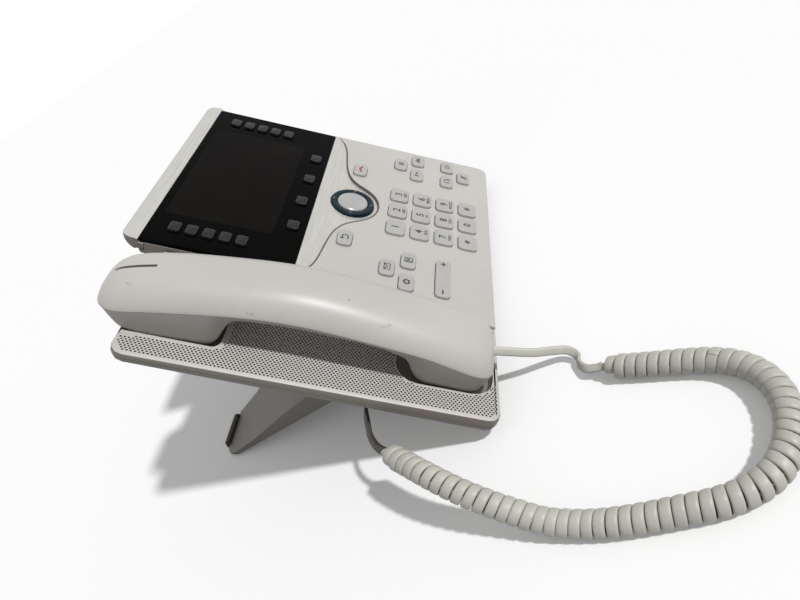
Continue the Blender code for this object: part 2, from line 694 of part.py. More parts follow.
def add_front_cover(parent, keys):
    """Key panel and display frame in one moulding, with a ledge that carries the bezel."""
    edge = 2.0 * MM
    shell = loft([
        lifted(cover_outline(), PARTING),
        lifted(cover_outline(), -edge),
        lifted(cover_outline(-0.3 * edge), -0.3 * edge),
        lifted(cover_outline(-edge), 0),
    ])
    shell = cut(shell, prism(cover_outline(-WALL), PARTING - 5 * MM, -PANEL))
    ledge = prism(bezel_outline(-LEDGE_ROOT), LEDGE_TOP - LEDGE_THICK, -1 * MM)
    shell = fuse(shell, common(ledge, prism(cover_outline(-0.5 * WALL), PARTING, 0)))
    shell = cut(shell, prism(bezel_outline(0), LEDGE_TOP, 5 * MM))
    shell = cut(shell, prism(bezel_outline(LEDGE_WIDTH), PARTING - 5 * MM, 0))
    left, right = CRADLE_EDGE_FRONT - BEYOND, BODY_WIDTH + BEYOND
    high = BODY_BACK + BEYOND
    beside_glass = box_corners(left, CRADLE_EDGE_BACK + WALL + 1 * MM, GLASS["low"] - 4 * MM, high, 0)
    over_top = box_corners(left, right, STRIP_FRONT - GAP, high, 0)
    shell = cut(shell, prism(rounded(beside_glass), GLASS["top"] - GLASS["thick"] - GAP, 5 * MM))
    shell = cut(shell, prism(rounded(over_top), LEDGE_TOP, 5 * MM))
    shell = cut(shell, *[key.hole() for key in keys])
    add_object("front_cover", shell, "warm_grey_plastic", parent)


def add_display_bezel(parent, keys):
    """Silver frame: dished waist round the navigation ring, tray under the glass, rolled top strip."""
    left, right = CRADLE_EDGE_FRONT - BEYOND, BODY_WIDTH + BEYOND
    plate = prism(bezel_outline(2 * GAP), BEZEL_UNDERSIDE, WAIST_TOP)
    tray_low = GLASS["low"] - GAP
    tray = rounded(box_corners(left, right, tray_low, BODY_BACK + BEYOND, 0))
    plate = cut(plate, prism(tray, GLASS["top"] - GLASS["thick"] - GAP, 5 * MM))
    bottom = Vector((WAIST_LOW_V, WAIST_DEPTH))
    span = tray_low - bottom.x
    rise = WAIST_TOP - bottom.y
    radius = (span ** 2 + rise ** 2) / (2 * rise)
    dish = []
    for k in range(13):
        angle = math.radians(-20 + 40 * k / 12)
        dish.append((bottom.x + radius * math.sin(angle), bottom.y + radius * (1 - math.cos(angle))))
    dish = [point for point in dish if point[0] < tray_low + 8 * MM]
    above = [(dish[-1][0], BEYOND), (dish[0][0], BEYOND)]
    plate = cut(plate, extruded_along_u(dish + above, left, right))
    profile = [(BODY_BACK + v * MM, z * MM) for v, z in TOP_STRIP]
    strip_left = GLASS_LEFT - 1 * MM
    strip = extruded_along_u(profile, strip_left, DISPLAY_RIGHT)
    low, high = BODY_BACK - BEYOND, BODY_BACK + STRIP_REACH
    ends = rounded([(strip_left, low, 0), (DISPLAY_RIGHT, low, 0), (DISPLAY_RIGHT, high, 8 * MM),
                    (strip_left, high, 8 * MM)], 6)
    plate = fuse(plate, common(strip, prism(ends, -10 * MM, 5 * MM)))
    half = LCD_WINDOW["half"]
    window = rounded(box_corners(CENTRE - half, CENTRE + half, LCD_WINDOW["low"], LCD_WINDOW["high"], 0))
    ring_hole = circle((CENTRE, NAV_V), NAV_RADIUS + NAV_FIT, 24)
    plate = cut(plate, prism(window, -10 * MM, 0), prism(ring_hole, -10 * MM, 5 * MM),
                *[key.hole() for key in keys])
    add_object("display_bezel", plate, "silver_trim", parent)


def add_display_glass(parent, keys):
    corners = box_corners(GLASS_LEFT, CENTRE + GLASS["half"], GLASS["low"], GLASS["high"], 1 * MM)
    low = GLASS["top"] - GLASS["thick"]
    glass = loft([
        lifted(rounded(corners), low),
        lifted(rounded(corners), GLASS["top"] - 0.3 * MM),
        lifted(rounded(grown(corners, -0.3 * MM)), GLASS["top"]),
    ])
    glass = cut(glass, *[key.hole() for key in keys])
    add_object("display_glass", glass, "black_glass", parent)


def add_lcd_module(parent):
    half = LCD_WINDOW["half"] + LCD_MARGIN
    low = LCD_WINDOW["low"] - LCD_MARGIN
    high = BODY_BACK - WALL - LEDGE_WIDTH - GAP
    outline = rounded(box_corners(CENTRE - half, CENTRE + half, low, high, 1 * MM), 2)
    add_object("lcd_module", prism(outline, BOARD_TOP + GAP, BEZEL_UNDERSIDE - GAP), "lcd", parent)


def add_navigation(parent):
    """Tilting ring round the select button; both stand in the dished waist."""
    centre = (CENTRE, NAV_V)
    ring = turned([
        (NAV_RADIUS + 1.1 * MM, -5.9 * MM), (NAV_RADIUS + 1.1 * MM, -5.1 * MM), (NAV_RADIUS, -5.1 * MM),
        (NAV_RADIUS, 0.2 * MM), (NAV_RADIUS - 0.7 * MM, 0.9 * MM), (SELECT_RADIUS + 1.2 * MM, 1.0 * MM),
    ], centre)
    bore = prism(circle(centre, SELECT_RADIUS + NAV_FIT, 24), -10 * MM, 5 * MM)
    obj = add_object("nav_ring", cut(ring, bore), "dark_teal", parent)
    set_origin(obj, (CENTRE, NAV_V, NAV_PIVOT_Z))
    crown = 2.6 * MM
    edge_z = 0.9 * MM
    dome = [(SELECT_RADIUS * math.cos(a), edge_z + (crown - edge_z) * math.sin(a))
            for a in (math.radians(12 + 16 * k) for k in range(5))]
    button = turned([(SELECT_RADIUS, -5.6 * MM), (SELECT_RADIUS, edge_z)] + dome, centre)
    obj = add_object("select_button", button, "steel", parent)
    set_origin(obj, (CENTRE, NAV_V, 0))


def add_circuit_board(parent):
    outline = rounded(box_corners(BOARD_LEFT, BOARD_RIGHT, BOARD_LOW, BOARD_HIGH, 2 * MM))
    board = prism(outline, BOARD_TOP - BOARD_THICK, BOARD_TOP)
    add_object("circuit_board", board, "board_green", parent)


def add_key_mat(parent, keys):
    """Silicone mat on the board, with a dome under each key of the panel."""
    left = BOARD_LEFT + 1.5 * MM
    right = BOARD_RIGHT - 2 * MM
    outline = rounded(box_corners(left, right, BOARD_LOW + 2 * MM, MAT_HIGH, 2 * MM), 2)
    base = BOARD_TOP + GAP
    mat = prism(outline, base, base + MAT_THICK)
    for key in keys:
        if key.centre[1] < MAT_HIGH - 5 * MM:
            dome = loft([
                lifted(circle(key.centre, 4.0 * MM, 6), base + 0.5 * MAT_THICK),
                lifted(circle(key.centre, 2.6 * MM, 6), base + MAT_THICK + DOME_HEIGHT),
            ])
            mat = fuse(mat, dome)
    add_object("key_mat", mat, "rubber", parent)


def add_loudspeaker(parent):
    """Speaker under the cradle's perforated deck: rim, basket and magnet."""
    centre = (HANDSET_U, SPEAKER_V)
    top = deck_top(*centre) - WALL - 0.6 * MM
    body = turned([
        (11 * MM, top - 15 * MM), (11 * MM, top - 9 * MM), (12.5 * MM, top - 8 * MM),
        (18 * MM, top - 3 * MM), (20 * MM, top - 2.4 * MM), (20 * MM, top),
    ], centre, 16)
    add_object("loudspeaker", body, "rubber", parent)


def add_hook_switch(parent):
    """Plunger that the handset holds down, flush with the ear cup's floor."""
    top = EAR_BULGE_Z - GAP
    collar = EAR_CUP["floor"] - WALL - HOOK_TRAVEL - GAP
    plunger = loft([
        lifted(rounded_box(HOOK_CENTRE, HOOK_SIZE, 1 * MM, FLANGE), collar - 1.7 * MM),
        lifted(rounded_box(HOOK_CENTRE, HOOK_SIZE, 1 * MM, FLANGE), collar),
        lifted(rounded_box(HOOK_CENTRE, HOOK_SIZE, 1 * MM), collar),
        lifted(rounded_box(HOOK_CENTRE, HOOK_SIZE, 1 * MM), top - 0.8 * MM),
        lifted(rounded_box(HOOK_CENTRE, HOOK_SIZE, 1 * MM, -0.8 * MM), top),
    ])
    obj = add_object("hook_switch", plunger, "key_plastic", parent)
    set_origin(obj, (*HOOK_CENTRE, top))


# ---- stand and feet (desk frame: Y from the face's front edge, Z from the desk) -------
def stand_profile(inset):
    """Side view of the stand's shell as (y, z), drawn in by its wall from above and the sides."""
    top = [(y * MM, z * MM - inset) for y, z in STAND_TOP]
    low = [(y * MM, z * MM - (40 * MM if inset else 0)) for y, z in STAND_UNDER]
    return top, low


def seat_z(y):
    """Height at a stand's depth y of the plane a gap behind the housing's rear plane."""
    return y * math.tan(TILT) - GAP / math.cos(TILT)


def stand_plan(inset):
    """Plan of the stand: a wide plate whose rear edge is cut by an arch."""
    left = STAND_LEFT - BODY_WIDTH / 2 + inset
    arch = ARCH_LEFT - BODY_WIDTH / 2 - inset
    crown = arch + ARCH_SLOPE
    rear = STAND_REAR - inset
    front = (STAND_SEAT[0] - 20) * MM
    corner = 10 * MM - inset
    arch_top = STAND_REAR - ARCH_DEPTH - inset
    return rounded([
        (left, front, 0), (-left, front, 0), (-left, rear, corner), (-arch, rear, 3 * MM),
        (-crown, arch_top, 8 * MM), (crown, arch_top, 8 * MM), (arch, rear, 3 * MM), (left, rear, corner),
    ])


def along_x(profile, half):
    """Solid with a (y, z) profile, even about the middle of the phone."""
    return loft([[Vector((x, y, z)) for y, z in profile] for x in (-half, half)])


def add_foot_stand():
    """Clip-on stand: ribbed shell from the housing's back down to two feet."""
    half = BODY_WIDTH / 2 - STAND_LEFT
    top, under = stand_profile(0)
    solid = common(along_x(under + top[::-1], half), prism(stand_plan(0), -1 * MM, 90 * MM))
    top, under = stand_profile(STAND_WALL)
    hollow = common(along_x(under + top[::-1], half), prism(stand_plan(STAND_WALL), -60 * MM, 90 * MM))
    shell = cut(solid, hollow)
    low_y = STAND_SEAT[0] * MM
    high_y = STAND_SEAT[1] * MM
    flange = [
        (low_y, seat_z(low_y) + 2 * MM), (low_y + 4 * MM, seat_z(low_y) - 5 * MM),
        (high_y + 2.5 * MM, seat_z(high_y) - 2.8 * MM), (high_y, seat_z(high_y) + 2 * MM),
    ]
    shell = fuse(shell, along_x(flange, FLANGE_HALF), *stand_ribs())
    above = 2 * STAND_REAR
    behind = [(0, seat_z(0)), (STAND_REAR, seat_z(STAND_REAR)), (STAND_REAR, above), (0, above)]
    shell = cut(shell, along_x(behind, BODY_WIDTH))
    bmesh.ops.translate(shell, vec=(0, DEPTH_OFFSET + STAND_START, 0), verts=shell.verts)
    hooks = hook_boxes(0, 0)
    for hook in hooks:
        bmesh.ops.transform(hook, matrix=face_matrix(), verts=hook.verts)
    shell = fuse(shell, *hooks)
    add_object("foot_stand", shell, "taupe_plastic")


def stand_ribs():
    """Ribs under the plate, from the flange to where the plate nears the desk."""
    top = [(y * MM, z * MM - 0.5 * STAND_WALL) for y, z in STAND_TOP[1:6]]
    low = [(y, z - RIB_DEPTH) for y, z in top]
    ribs = []
    for x in STAND_RIBS:
        for side in (-1, 1):
            middle = side * x * MM
            ribs.append(loft([[Vector((middle + off, y, z)) for y, z in low + top[::-1]]
                              for off in (-RIB_HALF, RIB_HALF)]))
    return ribs


def add_pads():
    """Rubber pads under the stand's two feet, turned up behind them."""
    for name, sign in (("stand_pad_left", 1), ("stand_pad_right", -1)):
        profile = [
            (-PAD_REACH, 0), (3 * MM, 0), (3 * MM, 2.5 * MM), (1.2 * MM, PAD_TURN_UP), (GAP, PAD_TURN_UP),
            (GAP, PAD_THICK), (-PAD_REACH, PAD_THICK),
        ]
        edge = DEPTH_OFFSET + STAND_START + STAND_REAR
        sides = (PAD_LEFT - BODY_WIDTH / 2, PAD_RIGHT - BODY_WIDTH / 2)
        pad = loft([[Vector((x * sign, edge + y, z)) for y, z in profile] for x in sides])
        add_object(name, pad, "rubber")
    ends = []
    for z in (HOUSING_KNEE - 1.5 * MM, 2 * MM - HOUSING_DEPTH):
        ends.append(math.cos(TILT) * desk_reach(z, 0) - math.sin(TILT) * z + DEPTH_OFFSET)
    strip = rounded(box_corners(-FOOT_HALF, FOOT_HALF, *ends, 4 * MM))
    add_object("front_foot", prism(strip, 0, FOOT_THICK), "rubber")


# ---- handset ------------------------------------------------------------------------
def smooth_value(table, v):
    """Value at v of a smooth curve through (v, value) pairs in millimetres."""
    v = v / MM
    if v <= table[0][0]:
        return table[0][1] * MM
    for k in range(len(table) - 1):
        (v0, a), (v1, b) = table[k], table[k + 1]
        if v <= v1:
            before = table[max(k - 1, 0)]
            after = table[min(k + 2, len(table) - 1)]
            slope_a = (b - before[1]) / (v1 - before[0])
            slope_b = (after[1] - a) / (after[0] - v0)
            t = (v - v0) / (v1 - v0)
            width = v1 - v0
            value = ((2 * t ** 3 - 3 * t ** 2 + 1) * a + (t ** 3 - 2 * t ** 2 + t) * width * slope_a
                     + (3 * t ** 2 - 2 * t ** 3) * b + (t ** 3 - t ** 2) * width * slope_b)
            return value * MM
    return table[-1][1] * MM


HANDSET_STATIONS = (6.5, 8, 11, 16, 24, 44, 49, 54, 59, 66, 82, 105, 128, 140, 147, 152, 157, 162, 178, 193,
                    200, 206, 210, 213, 215)
WIDTH_CURVE = ((6.5, 14), (8, 17.5), (11, 20.2), (16, 21.8), (24, 22.2), (60, 21.6), (105, 21.2),
               (150, 21.6), (185, 22.2), (203, 21.8), (209, 20.0), (213, 17), (215, 14))
CROWN_CURVE = ((6.5, 14.5), (8, 18), (11, 21), (20, 25), (36, 29), (65, 33), (98, 36), (120, 36), (146, 33),
               (173, 29), (192, 24.5), (206, 19.5), (212, 15.5), (215, 12))
SEAM_CURVE = ((6.5, 11.5), (12, 12.5), (21, 14), (44, 19), (60, 20.6), (86, 22.3), (111, 23.5), (136, 23.3),
              (160, 20), (185, 15), (210, 9.5), (215, 8.5))
UNDER_CURVE = ((6.5, 8), (8, 3), (11, -2.5), (15, -5), (30, -5), (44, -5), (49, -3.6), (54, 2.5), (60, 11),
               (68, 14.8), (90, 15.6), (120, 15.6), (140, 14.2), (147, 9), (152, 0), (157, -6.2), (161, -7),
               (177, -7), (193, -7), (197, -5.6), (203, -1.5), (210, 4.5), (215, 7))
SHOULDER_POWER = 3.0
UNDER_POWER = 4.5
UNDER_TAPER = 0.14
ARC_STEPS = 10


def handset_arc(v, upper, wall):
    """Upper or lower half of the handset's section at v, from the right seam to the left one."""
    half = smooth_value(WIDTH_CURVE, v) - wall
    seam = smooth_value(SEAM_CURVE, v)
    if upper:
        reach = smooth_value(CROWN_CURVE, v) - wall - seam
    else:
        reach = smooth_value(UNDER_CURVE, v) + wall - seam
    power = SHOULDER_POWER if upper else UNDER_POWER
    points = []
    for k in range(ARC_STEPS + 1):
        angle = math.pi * k / ARC_STEPS
        across = math.copysign(abs(math.cos(angle)) ** (2 / power), math.cos(angle))
        out = abs(math.sin(angle)) ** (2 / power)
        taper = 1 if upper else 1 - UNDER_TAPER * out
        points.append(Vector((HANDSET_U + half * across * taper, v, seam + reach * out)))
    return points


def handset_half(upper, wall):
    """Closed loft of one half; with a wall, the hollow inside it, open over the seam."""
    gap = GAP / 2 if upper else -GAP / 2
    stations = [v * MM for v in HANDSET_STATIONS]
    if wall:
        stations = [v for v in stations if HANDSET_FRONT + wall < v < HANDSET_BACK - wall]
        gap = -1 * MM if upper else 1 * MM
    rings = []
    for v in stations:
        ring = handset_arc(v, upper, wall)
        ring[0].z += gap
        ring[-1].z += gap
        if wall:
            ring[0].z = ring[-1].z = smooth_value(SEAM_CURVE, v) + gap
        rings.append(ring)
    return loft(rings)


def add_handset(parent):
    for name, upper in (("handset_outer_shell", True), ("handset_inner_shell", False)):
        shell = cut(handset_half(upper, 0), handset_half(upper, HANDSET_WALL))
        if upper:
            slot = [(v, smooth_value(CROWN_CURVE, v)) for v in LAMP_STATIONS]
            shell = cut(shell, lamp_strip(slot, LAMP_HALF + GAP, 6 * MM, 3 * MM, GAP))
        else:
            shell = cut(shell, *sound_holes())
        add_object(name, shell, "warm_grey_plastic", parent)
    crown = [(v, smooth_value(CROWN_CURVE, v)) for v in LAMP_STATIONS]
    lamp = lamp_strip(crown, LAMP_HALF, HANDSET_WALL + 0.4 * MM, 0.15 * MM, 0)
    add_object("message_lamp", lamp, "lamp", parent)


def sound_holes():
    """Round holes through the ear and mouth bulges: a ring of six about one, and a row of three."""
    ear = [(HANDSET_U, EAR_HOLES_V), *circle((HANDSET_U, EAR_HOLES_V), EAR_HOLES_SPREAD, 6)]
    mouth = [(HANDSET_U + step * EAR_HOLES_SPREAD, MOUTH_HOLES_V) for step in (-1, 0, 1)]
    depth = 2 * HANDSET_WALL
    return [prism(circle(place, SOUND_HOLE, 6), bulge - depth, bulge + depth)
            for places, bulge in ((ear, EAR_BULGE_Z), (mouth, MOUTH_BULGE_Z)) for place in places]


def lamp_strip(crown, half, below, above, longer):
    """Narrow strip along the crown, between a depth below it and a height above it."""
    rings = []
    for k, (v, z) in enumerate(crown):
        end = -longer if k == 0 else longer if k == len(crown) - 1 else 0
        rings.append([
            Vector((HANDSET_U - half, v + end, z - below)), Vector((HANDSET_U + half, v + end, z - below)),
            Vector((HANDSET_U + half, v + end, z + above)), Vector((HANDSET_U - half, v + end, z + above)),
        ])
    return loft(rings)


# ---- cords (desk frame) -------------------------------------------------------------
COIL_ROUTE = (
    (-143.6, 57, 33), (-153, 45, 33), (-162, 33, 31.5), (-169, 22, 27.5), (-175, 10, 21.5),
    (-180, -3, 14.5), (-184.5, -16, 9), (-187.5, -30, 6.7), (-189.4, -43, 6.6), (-190.1, -57, 6.6),
    (-190, -72, 6.6), (-189.5, -87, 6.6), (-186.5, -100, 6.6), (-180, -110.5, 6.6), (-170, -118, 6.6),
    (-158, -122.3, 6.6), (-146, -123, 6.6), (-135, -119.8, 6.6), (-126.5, -113, 6.6), (-121, -104, 6.6),
    (-117.5, -94, 6.6), (-114.5, -83, 6.6), (-111.5, -72, 6.6), (-108.5, -62, 6.6), (-106, -54, 6.6),
)
HANDSET_LEAD_ROUTE = (
    (-91.7, -6.4, 25.6), (-91.5, -13, 21.5), (-90.5, -22, 15.5), (-88.5, -31, 10.5), (-88, -38, 7),
    (-91.5, -42, 4.6), (-98, -42.6, 4), (-103.4, -46.4, 5.4), (-105.9, -53.6, 6.6),
)
BASE_LEAD_ROUTE = (
    (-105.95, 68.45, 40.55), (-113, 68.45, 40.5), (-119.5, 68.3, 39.4), (-126, 67.7, 36.9),
    (-132.5, 66.6, 34.6), (-139, 62.6, 33.3), (-143.35, 57.3, 33),
)


def spline_points(route, spacing):
    """Evenly spaced points on a smooth curve through a route given in millimetres."""
    knots = [Vector(point) * MM for point in route]
    dense = []
    for k in range(len(knots) - 1):
        start, end = knots[k], knots[k + 1]
        before = knots[max(k - 1, 0)]
        after = knots[min(k + 2, len(knots) - 1)]
        handles = (start, start + (end - before) / 6, end - (after - start) / 6, end)
        dense += interpolate_bezier(*handles, 24)[:-1]
    dense.append(knots[-1])
    length = sum((b - a).length for a, b in zip(dense, dense[1:]))
    count = max(round(length / spacing), 3)
    points = [dense[0]]
    walked = 0
    for a, b in zip(dense, dense[1:]):
        step = (b - a).length
        while len(points) < count and walked + step >= length * len(points) / count:
            points.append(a.lerp(b, (length * len(points) / count - walked) / step))
        walked += step
    points.append(dense[-1])
    return points


def add_tube(name, route, diameter, spacing, resolution, material):
    curve = bpy.data.curves.new(name, "CURVE")
    curve.dimensions = "3D"
    curve.bevel_depth = diameter / 2
    curve.bevel_resolution = resolution
    curve.use_fill_caps = True
    points = spline_points(route, spacing)
    spline = curve.splines.new("POLY")
    spline.points.add(len(points) - 1)
    for slot, point in zip(spline.points, points):
        slot.co = (point.x, point.y + DEPTH_OFFSET, point.z, 1)
    curve.materials.append(make_material(material))
    obj = bpy.data.objects.new(name, curve)
    bpy.context.scene.collection.objects.link(obj)


# ---- assembly -----------------------------------------------------------------------
def main():
    for obj in list(bpy.data.objects):
        bpy.data.objects.remove(obj)
    face = bpy.data.objects.new("face_frame", None)
    bpy.context.scene.collection.objects.link(face)
    face.matrix_world = face_matrix()
    panel_keys, rocker, glass_keys = list_keys()

    add_rear_housing(face)
    add_cradle_deck(face)
    add_front_cover(face, panel_keys + [rocker])
    add_display_bezel(face, glass_keys)
    add_display_glass(face, glass_keys)
    add_lcd_module(face)
    add_navigation(face)
    add_circuit_board(face)
    add_key_mat(face, panel_keys)
    add_loudspeaker(face)
    add_hook_switch(face)
    for key in panel_keys + glass_keys:
        add_key(key, face)
    add_key(rocker, face, ROCKER_ANGLE)
    add_handset(face)
    add_foot_stand()
    add_pads()
    add_tube("cord_coil", COIL_ROUTE, COIL_DIAMETER, 9.5 * MM, 3, "ivory_cord")
    add_tube("handset_lead", HANDSET_LEAD_ROUTE, LEAD_DIAMETER, 5 * MM, 2, "ivory_cord")
    add_tube("base_lead", BASE_LEAD_ROUTE, LEAD_DIAMETER, 5 * MM, 2, "rubber")


main()
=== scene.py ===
"""Looks of a desk telephone: finishes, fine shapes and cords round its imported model.

Laid out as an add-on whose operators each make one piece, or one group of like pieces.
Most pieces are modelled in the frame of the tilted face: u to the right, v up the face and
z out of it, from the face's front left corner. Lengths are in metres where no comment says
millimetres.
"""
import json
import math
from contextlib import contextmanager

import bmesh
import bpy
from bpy.props import FloatProperty, FloatVectorProperty, PointerProperty
from mathutils import Matrix, Vector
from mathutils.geometry import delaunay_2d_cdt, interpolate_bezier


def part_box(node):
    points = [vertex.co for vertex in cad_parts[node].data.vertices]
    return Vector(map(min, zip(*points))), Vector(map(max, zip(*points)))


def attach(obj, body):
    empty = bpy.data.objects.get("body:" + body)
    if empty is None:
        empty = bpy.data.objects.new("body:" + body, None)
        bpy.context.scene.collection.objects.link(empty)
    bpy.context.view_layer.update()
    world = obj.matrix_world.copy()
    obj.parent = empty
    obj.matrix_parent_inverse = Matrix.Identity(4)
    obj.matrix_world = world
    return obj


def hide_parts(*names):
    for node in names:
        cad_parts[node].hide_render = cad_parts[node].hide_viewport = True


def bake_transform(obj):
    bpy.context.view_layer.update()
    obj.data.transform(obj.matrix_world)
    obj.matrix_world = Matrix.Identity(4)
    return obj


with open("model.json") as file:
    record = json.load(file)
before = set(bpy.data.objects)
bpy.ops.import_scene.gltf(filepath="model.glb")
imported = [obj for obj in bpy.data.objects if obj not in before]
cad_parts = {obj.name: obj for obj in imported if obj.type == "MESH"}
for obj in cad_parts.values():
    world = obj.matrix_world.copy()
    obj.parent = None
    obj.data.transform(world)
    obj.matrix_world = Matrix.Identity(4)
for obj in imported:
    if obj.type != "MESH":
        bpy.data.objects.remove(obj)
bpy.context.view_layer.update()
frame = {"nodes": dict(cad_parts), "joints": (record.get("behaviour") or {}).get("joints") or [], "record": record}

bl_info = {
    "name": "Desk Telephone Looks",
    "version": (1, 0, 0),
    "blender": (4, 5, 0),
    "location": "3D Viewport > Sidebar > Telephone",
    "description": "Finishes, fine shapes and cords of a desk telephone round its packed model",
    "category": "Object",
}

MM = 0.001
WELD = 0.002 * MM                # corners of a CAD node nearer than this are one
NODES = frame["nodes"]
LIFT = next(joint for joint in frame["joints"] if joint["name"] == "handset_lift")
BODY_OF = {node: body for body, nodes in frame["record"]["behaviour"]["bodies"].items() for node in nodes}


# ---- the frame of the tilted face --------------------------------------------------------
def extent(points):
    """Lowest and highest corner of the box round some points."""
    points = list(points)
    low = Vector([min(point[k] for point in points) for k in range(3)])
    high = Vector([max(point[k] for point in points) for k in range(3)])
    return low, high


def face_frame():
    """Axes from the handset's lift, corner from the covers that lie in the face."""
    out = Vector(LIFT["axis"]).normalized()
    across = Vector((1, 0, 0))
    turn = Matrix((across, out.cross(across), out)).transposed().to_4x4()
    back = turn.inverted()
    deck_low, _ = extent(back @ vertex.co for vertex in NODES["cradle_deck"].data.vertices)
    _, cover_high = extent(back @ vertex.co for vertex in NODES["front_cover"].data.vertices)
    return turn @ Matrix.Translation((deck_low.x, deck_low.y, cover_high.z))


FACE = face_frame()
TO_FACE = FACE.inverted()


def face_box(node):
    """Lowest and highest corner of a CAD node in the face's frame."""
    return extent(TO_FACE @ vertex.co for vertex in NODES[node].data.vertices)


def desk_point(point):
    """World place of an (x, y, z) in millimetres measured from the face's front edge on the desk."""
    return Vector(point) * MM + Vector((0, FACE.translation.y, 0))


# ---- modelling helpers -------------------------------------------------------------------
def deselect():
    bpy.ops.object.select_all(action="DESELECT")


def select(obj):
    deselect()
    obj.select_set(True)
    bpy.context.view_layer.objects.active = obj


@contextmanager
def editing(obj):
    """Edit mode of one object, with all of its mesh selected."""
    select(obj)
    bpy.ops.object.mode_set(mode="EDIT")
    bpy.ops.mesh.select_all(action="SELECT")
    yield
    bpy.ops.object.mode_set(mode="OBJECT")


def start_piece(name):
    """Names the primitive that was just added."""
    obj = bpy.context.active_object
    obj.name = name
    obj.data.name = name
    return obj


def settle(obj):
    """Puts the object's place, turn and scale into its mesh."""
    select(obj)
    bpy.ops.object.transform_apply(location=True, rotation=True, scale=True)


def block(name, size, middle=(0, 0, 0)):
    """Plain box of a size about its middle."""
    deselect()
    bpy.ops.mesh.primitive_cube_add(size=1, location=middle, scale=size)
    obj = start_piece(name)
    settle(obj)
    return obj


def linked(name, data):
    """New object of the scene that shows some data."""
    obj = bpy.data.objects.new(name, data)
    bpy.context.scene.collection.objects.link(obj)
    return obj


def built(name, mesh):
    """New object from a finished bmesh, which is used up."""
    data = bpy.data.meshes.new(name)
    mesh.to_mesh(data)
    mesh.free()
    return linked(name, data)


def wire(name, points, radius, resolution, closed=False):
    """Round line through points, as a mesh."""
    curve = bpy.data.curves.new(name, "CURVE")
    curve.dimensions = "3D"
    curve.bevel_depth = radius
    curve.bevel_resolution = resolution
    curve.use_fill_caps = True
    line = curve.splines.new("POLY")
    line.points.add(len(points) - 1)
    line.use_cyclic_u = closed
    for slot, point in zip(line.points, points):
        slot.co = (*point, 1)
    select(linked(name, curve))
    bpy.ops.object.convert(target="MESH")
    return bpy.context.active_object


def pick(obj, test, kind="FACE"):
    """In edit mode, selects just the faces or the edges that pass a test."""
    bpy.ops.mesh.select_mode(type=kind)
    bpy.ops.mesh.select_all(action="DESELECT")
    mesh = bmesh.from_edit_mesh(obj.data)
    for element in mesh.edges if kind == "EDGE" else mesh.faces:
        if test(element):
            element.select_set(True)
    bmesh.update_edit_mesh(obj.data)


def upright(edge):
    """Whether an edge stands square to the foot of its piece."""
    first, second = edge.verts
    return abs((first.co - second.co).normalized().z) > 0.9


def apply_modifiers(obj):
    select(obj)
    for modifier in list(obj.modifiers):
        bpy.ops.object.modifier_apply(modifier=modifier.name)


def soften(obj, width, segments=2, angle=30):
    """Rounds the edges that are sharper than an angle in degrees."""
    bevel = obj.modifiers.new("soft_edges", "BEVEL")
    bevel.width = width
    bevel.segments = segments
    bevel.limit_method = "ANGLE"
    bevel.angle_limit = math.radians(angle)
    apply_modifiers(obj)


def thicken(obj, wall):
    """Gives a skin its wall, on the inner side."""
    skin = obj.modifiers.new("wall", "SOLIDIFY")
    skin.thickness = wall
    skin.offset = -1
    apply_modifiers(obj)


def smooth(obj, angle=35):
    select(obj)
    bpy.ops.object.shade_smooth_by_angle(angle=math.radians(angle))


def duplicate(obj, name):
    """Copy of a finished object with its own mesh."""
    copy = obj.copy()
    copy.data = obj.data.copy()
    copy.name = copy.data.name = name
    bpy.context.scene.collection.objects.link(copy)
    return copy


def join(target, others):
    deselect()
    for obj in others:
        obj.select_set(True)
    target.select_set(True)
    bpy.context.view_layer.objects.active = target
    bpy.ops.object.join()
    return target


def to_face(obj, u, v, z):
    """Moves a piece drawn flat about the origin to its place on the tilted face."""
    obj.matrix_world = FACE @ Matrix.Translation((u, v, z)) @ obj.matrix_world
    settle(obj)


def set_material(obj, *materials):
    obj.data.materials.clear()
    for material in materials:
        obj.data.materials.append(material)


def finish_piece(obj, body, slot, *nodes):
    """Ties a settled piece to its body and hides the CAD nodes that it stands for; its slot is not used."""
    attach(obj, body)
    if nodes:
        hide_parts(*nodes)


def refined(node, name, edge):
    """Copy of a CAD node with its triangles joined up and its hard edges softened."""
    obj = duplicate(NODES[node], name)
    obj.parent = None
    for key in [key for key in obj.keys() if key.startswith("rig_")]:
        del obj[key]
    obj.hide_render = False
    with editing(obj):
        bpy.ops.mesh.remove_doubles(threshold=WELD)
        bpy.ops.mesh.dissolve_limited(angle_limit=math.radians(0.5))
    if edge:
        soften(obj, edge)
    smooth(obj, 30)
    even = obj.modifiers.new("even_normals", "WEIGHTED_NORMAL")
    even.keep_sharp = True
    apply_modifiers(obj)
    return obj


# ---- sizes and colours that a user may change --------------------------------------------
def size(name, about, millimetres):
    return FloatProperty(name=name, description=about, default=millimetres * MM, min=0.0,
                         unit="LENGTH", precision=4)


def colour(name, about, red, green, blue):
    return FloatVectorProperty(name=name, description=about, default=(red, green, blue), size=3,
                               min=0.0, max=1.0, subtype="COLOR")


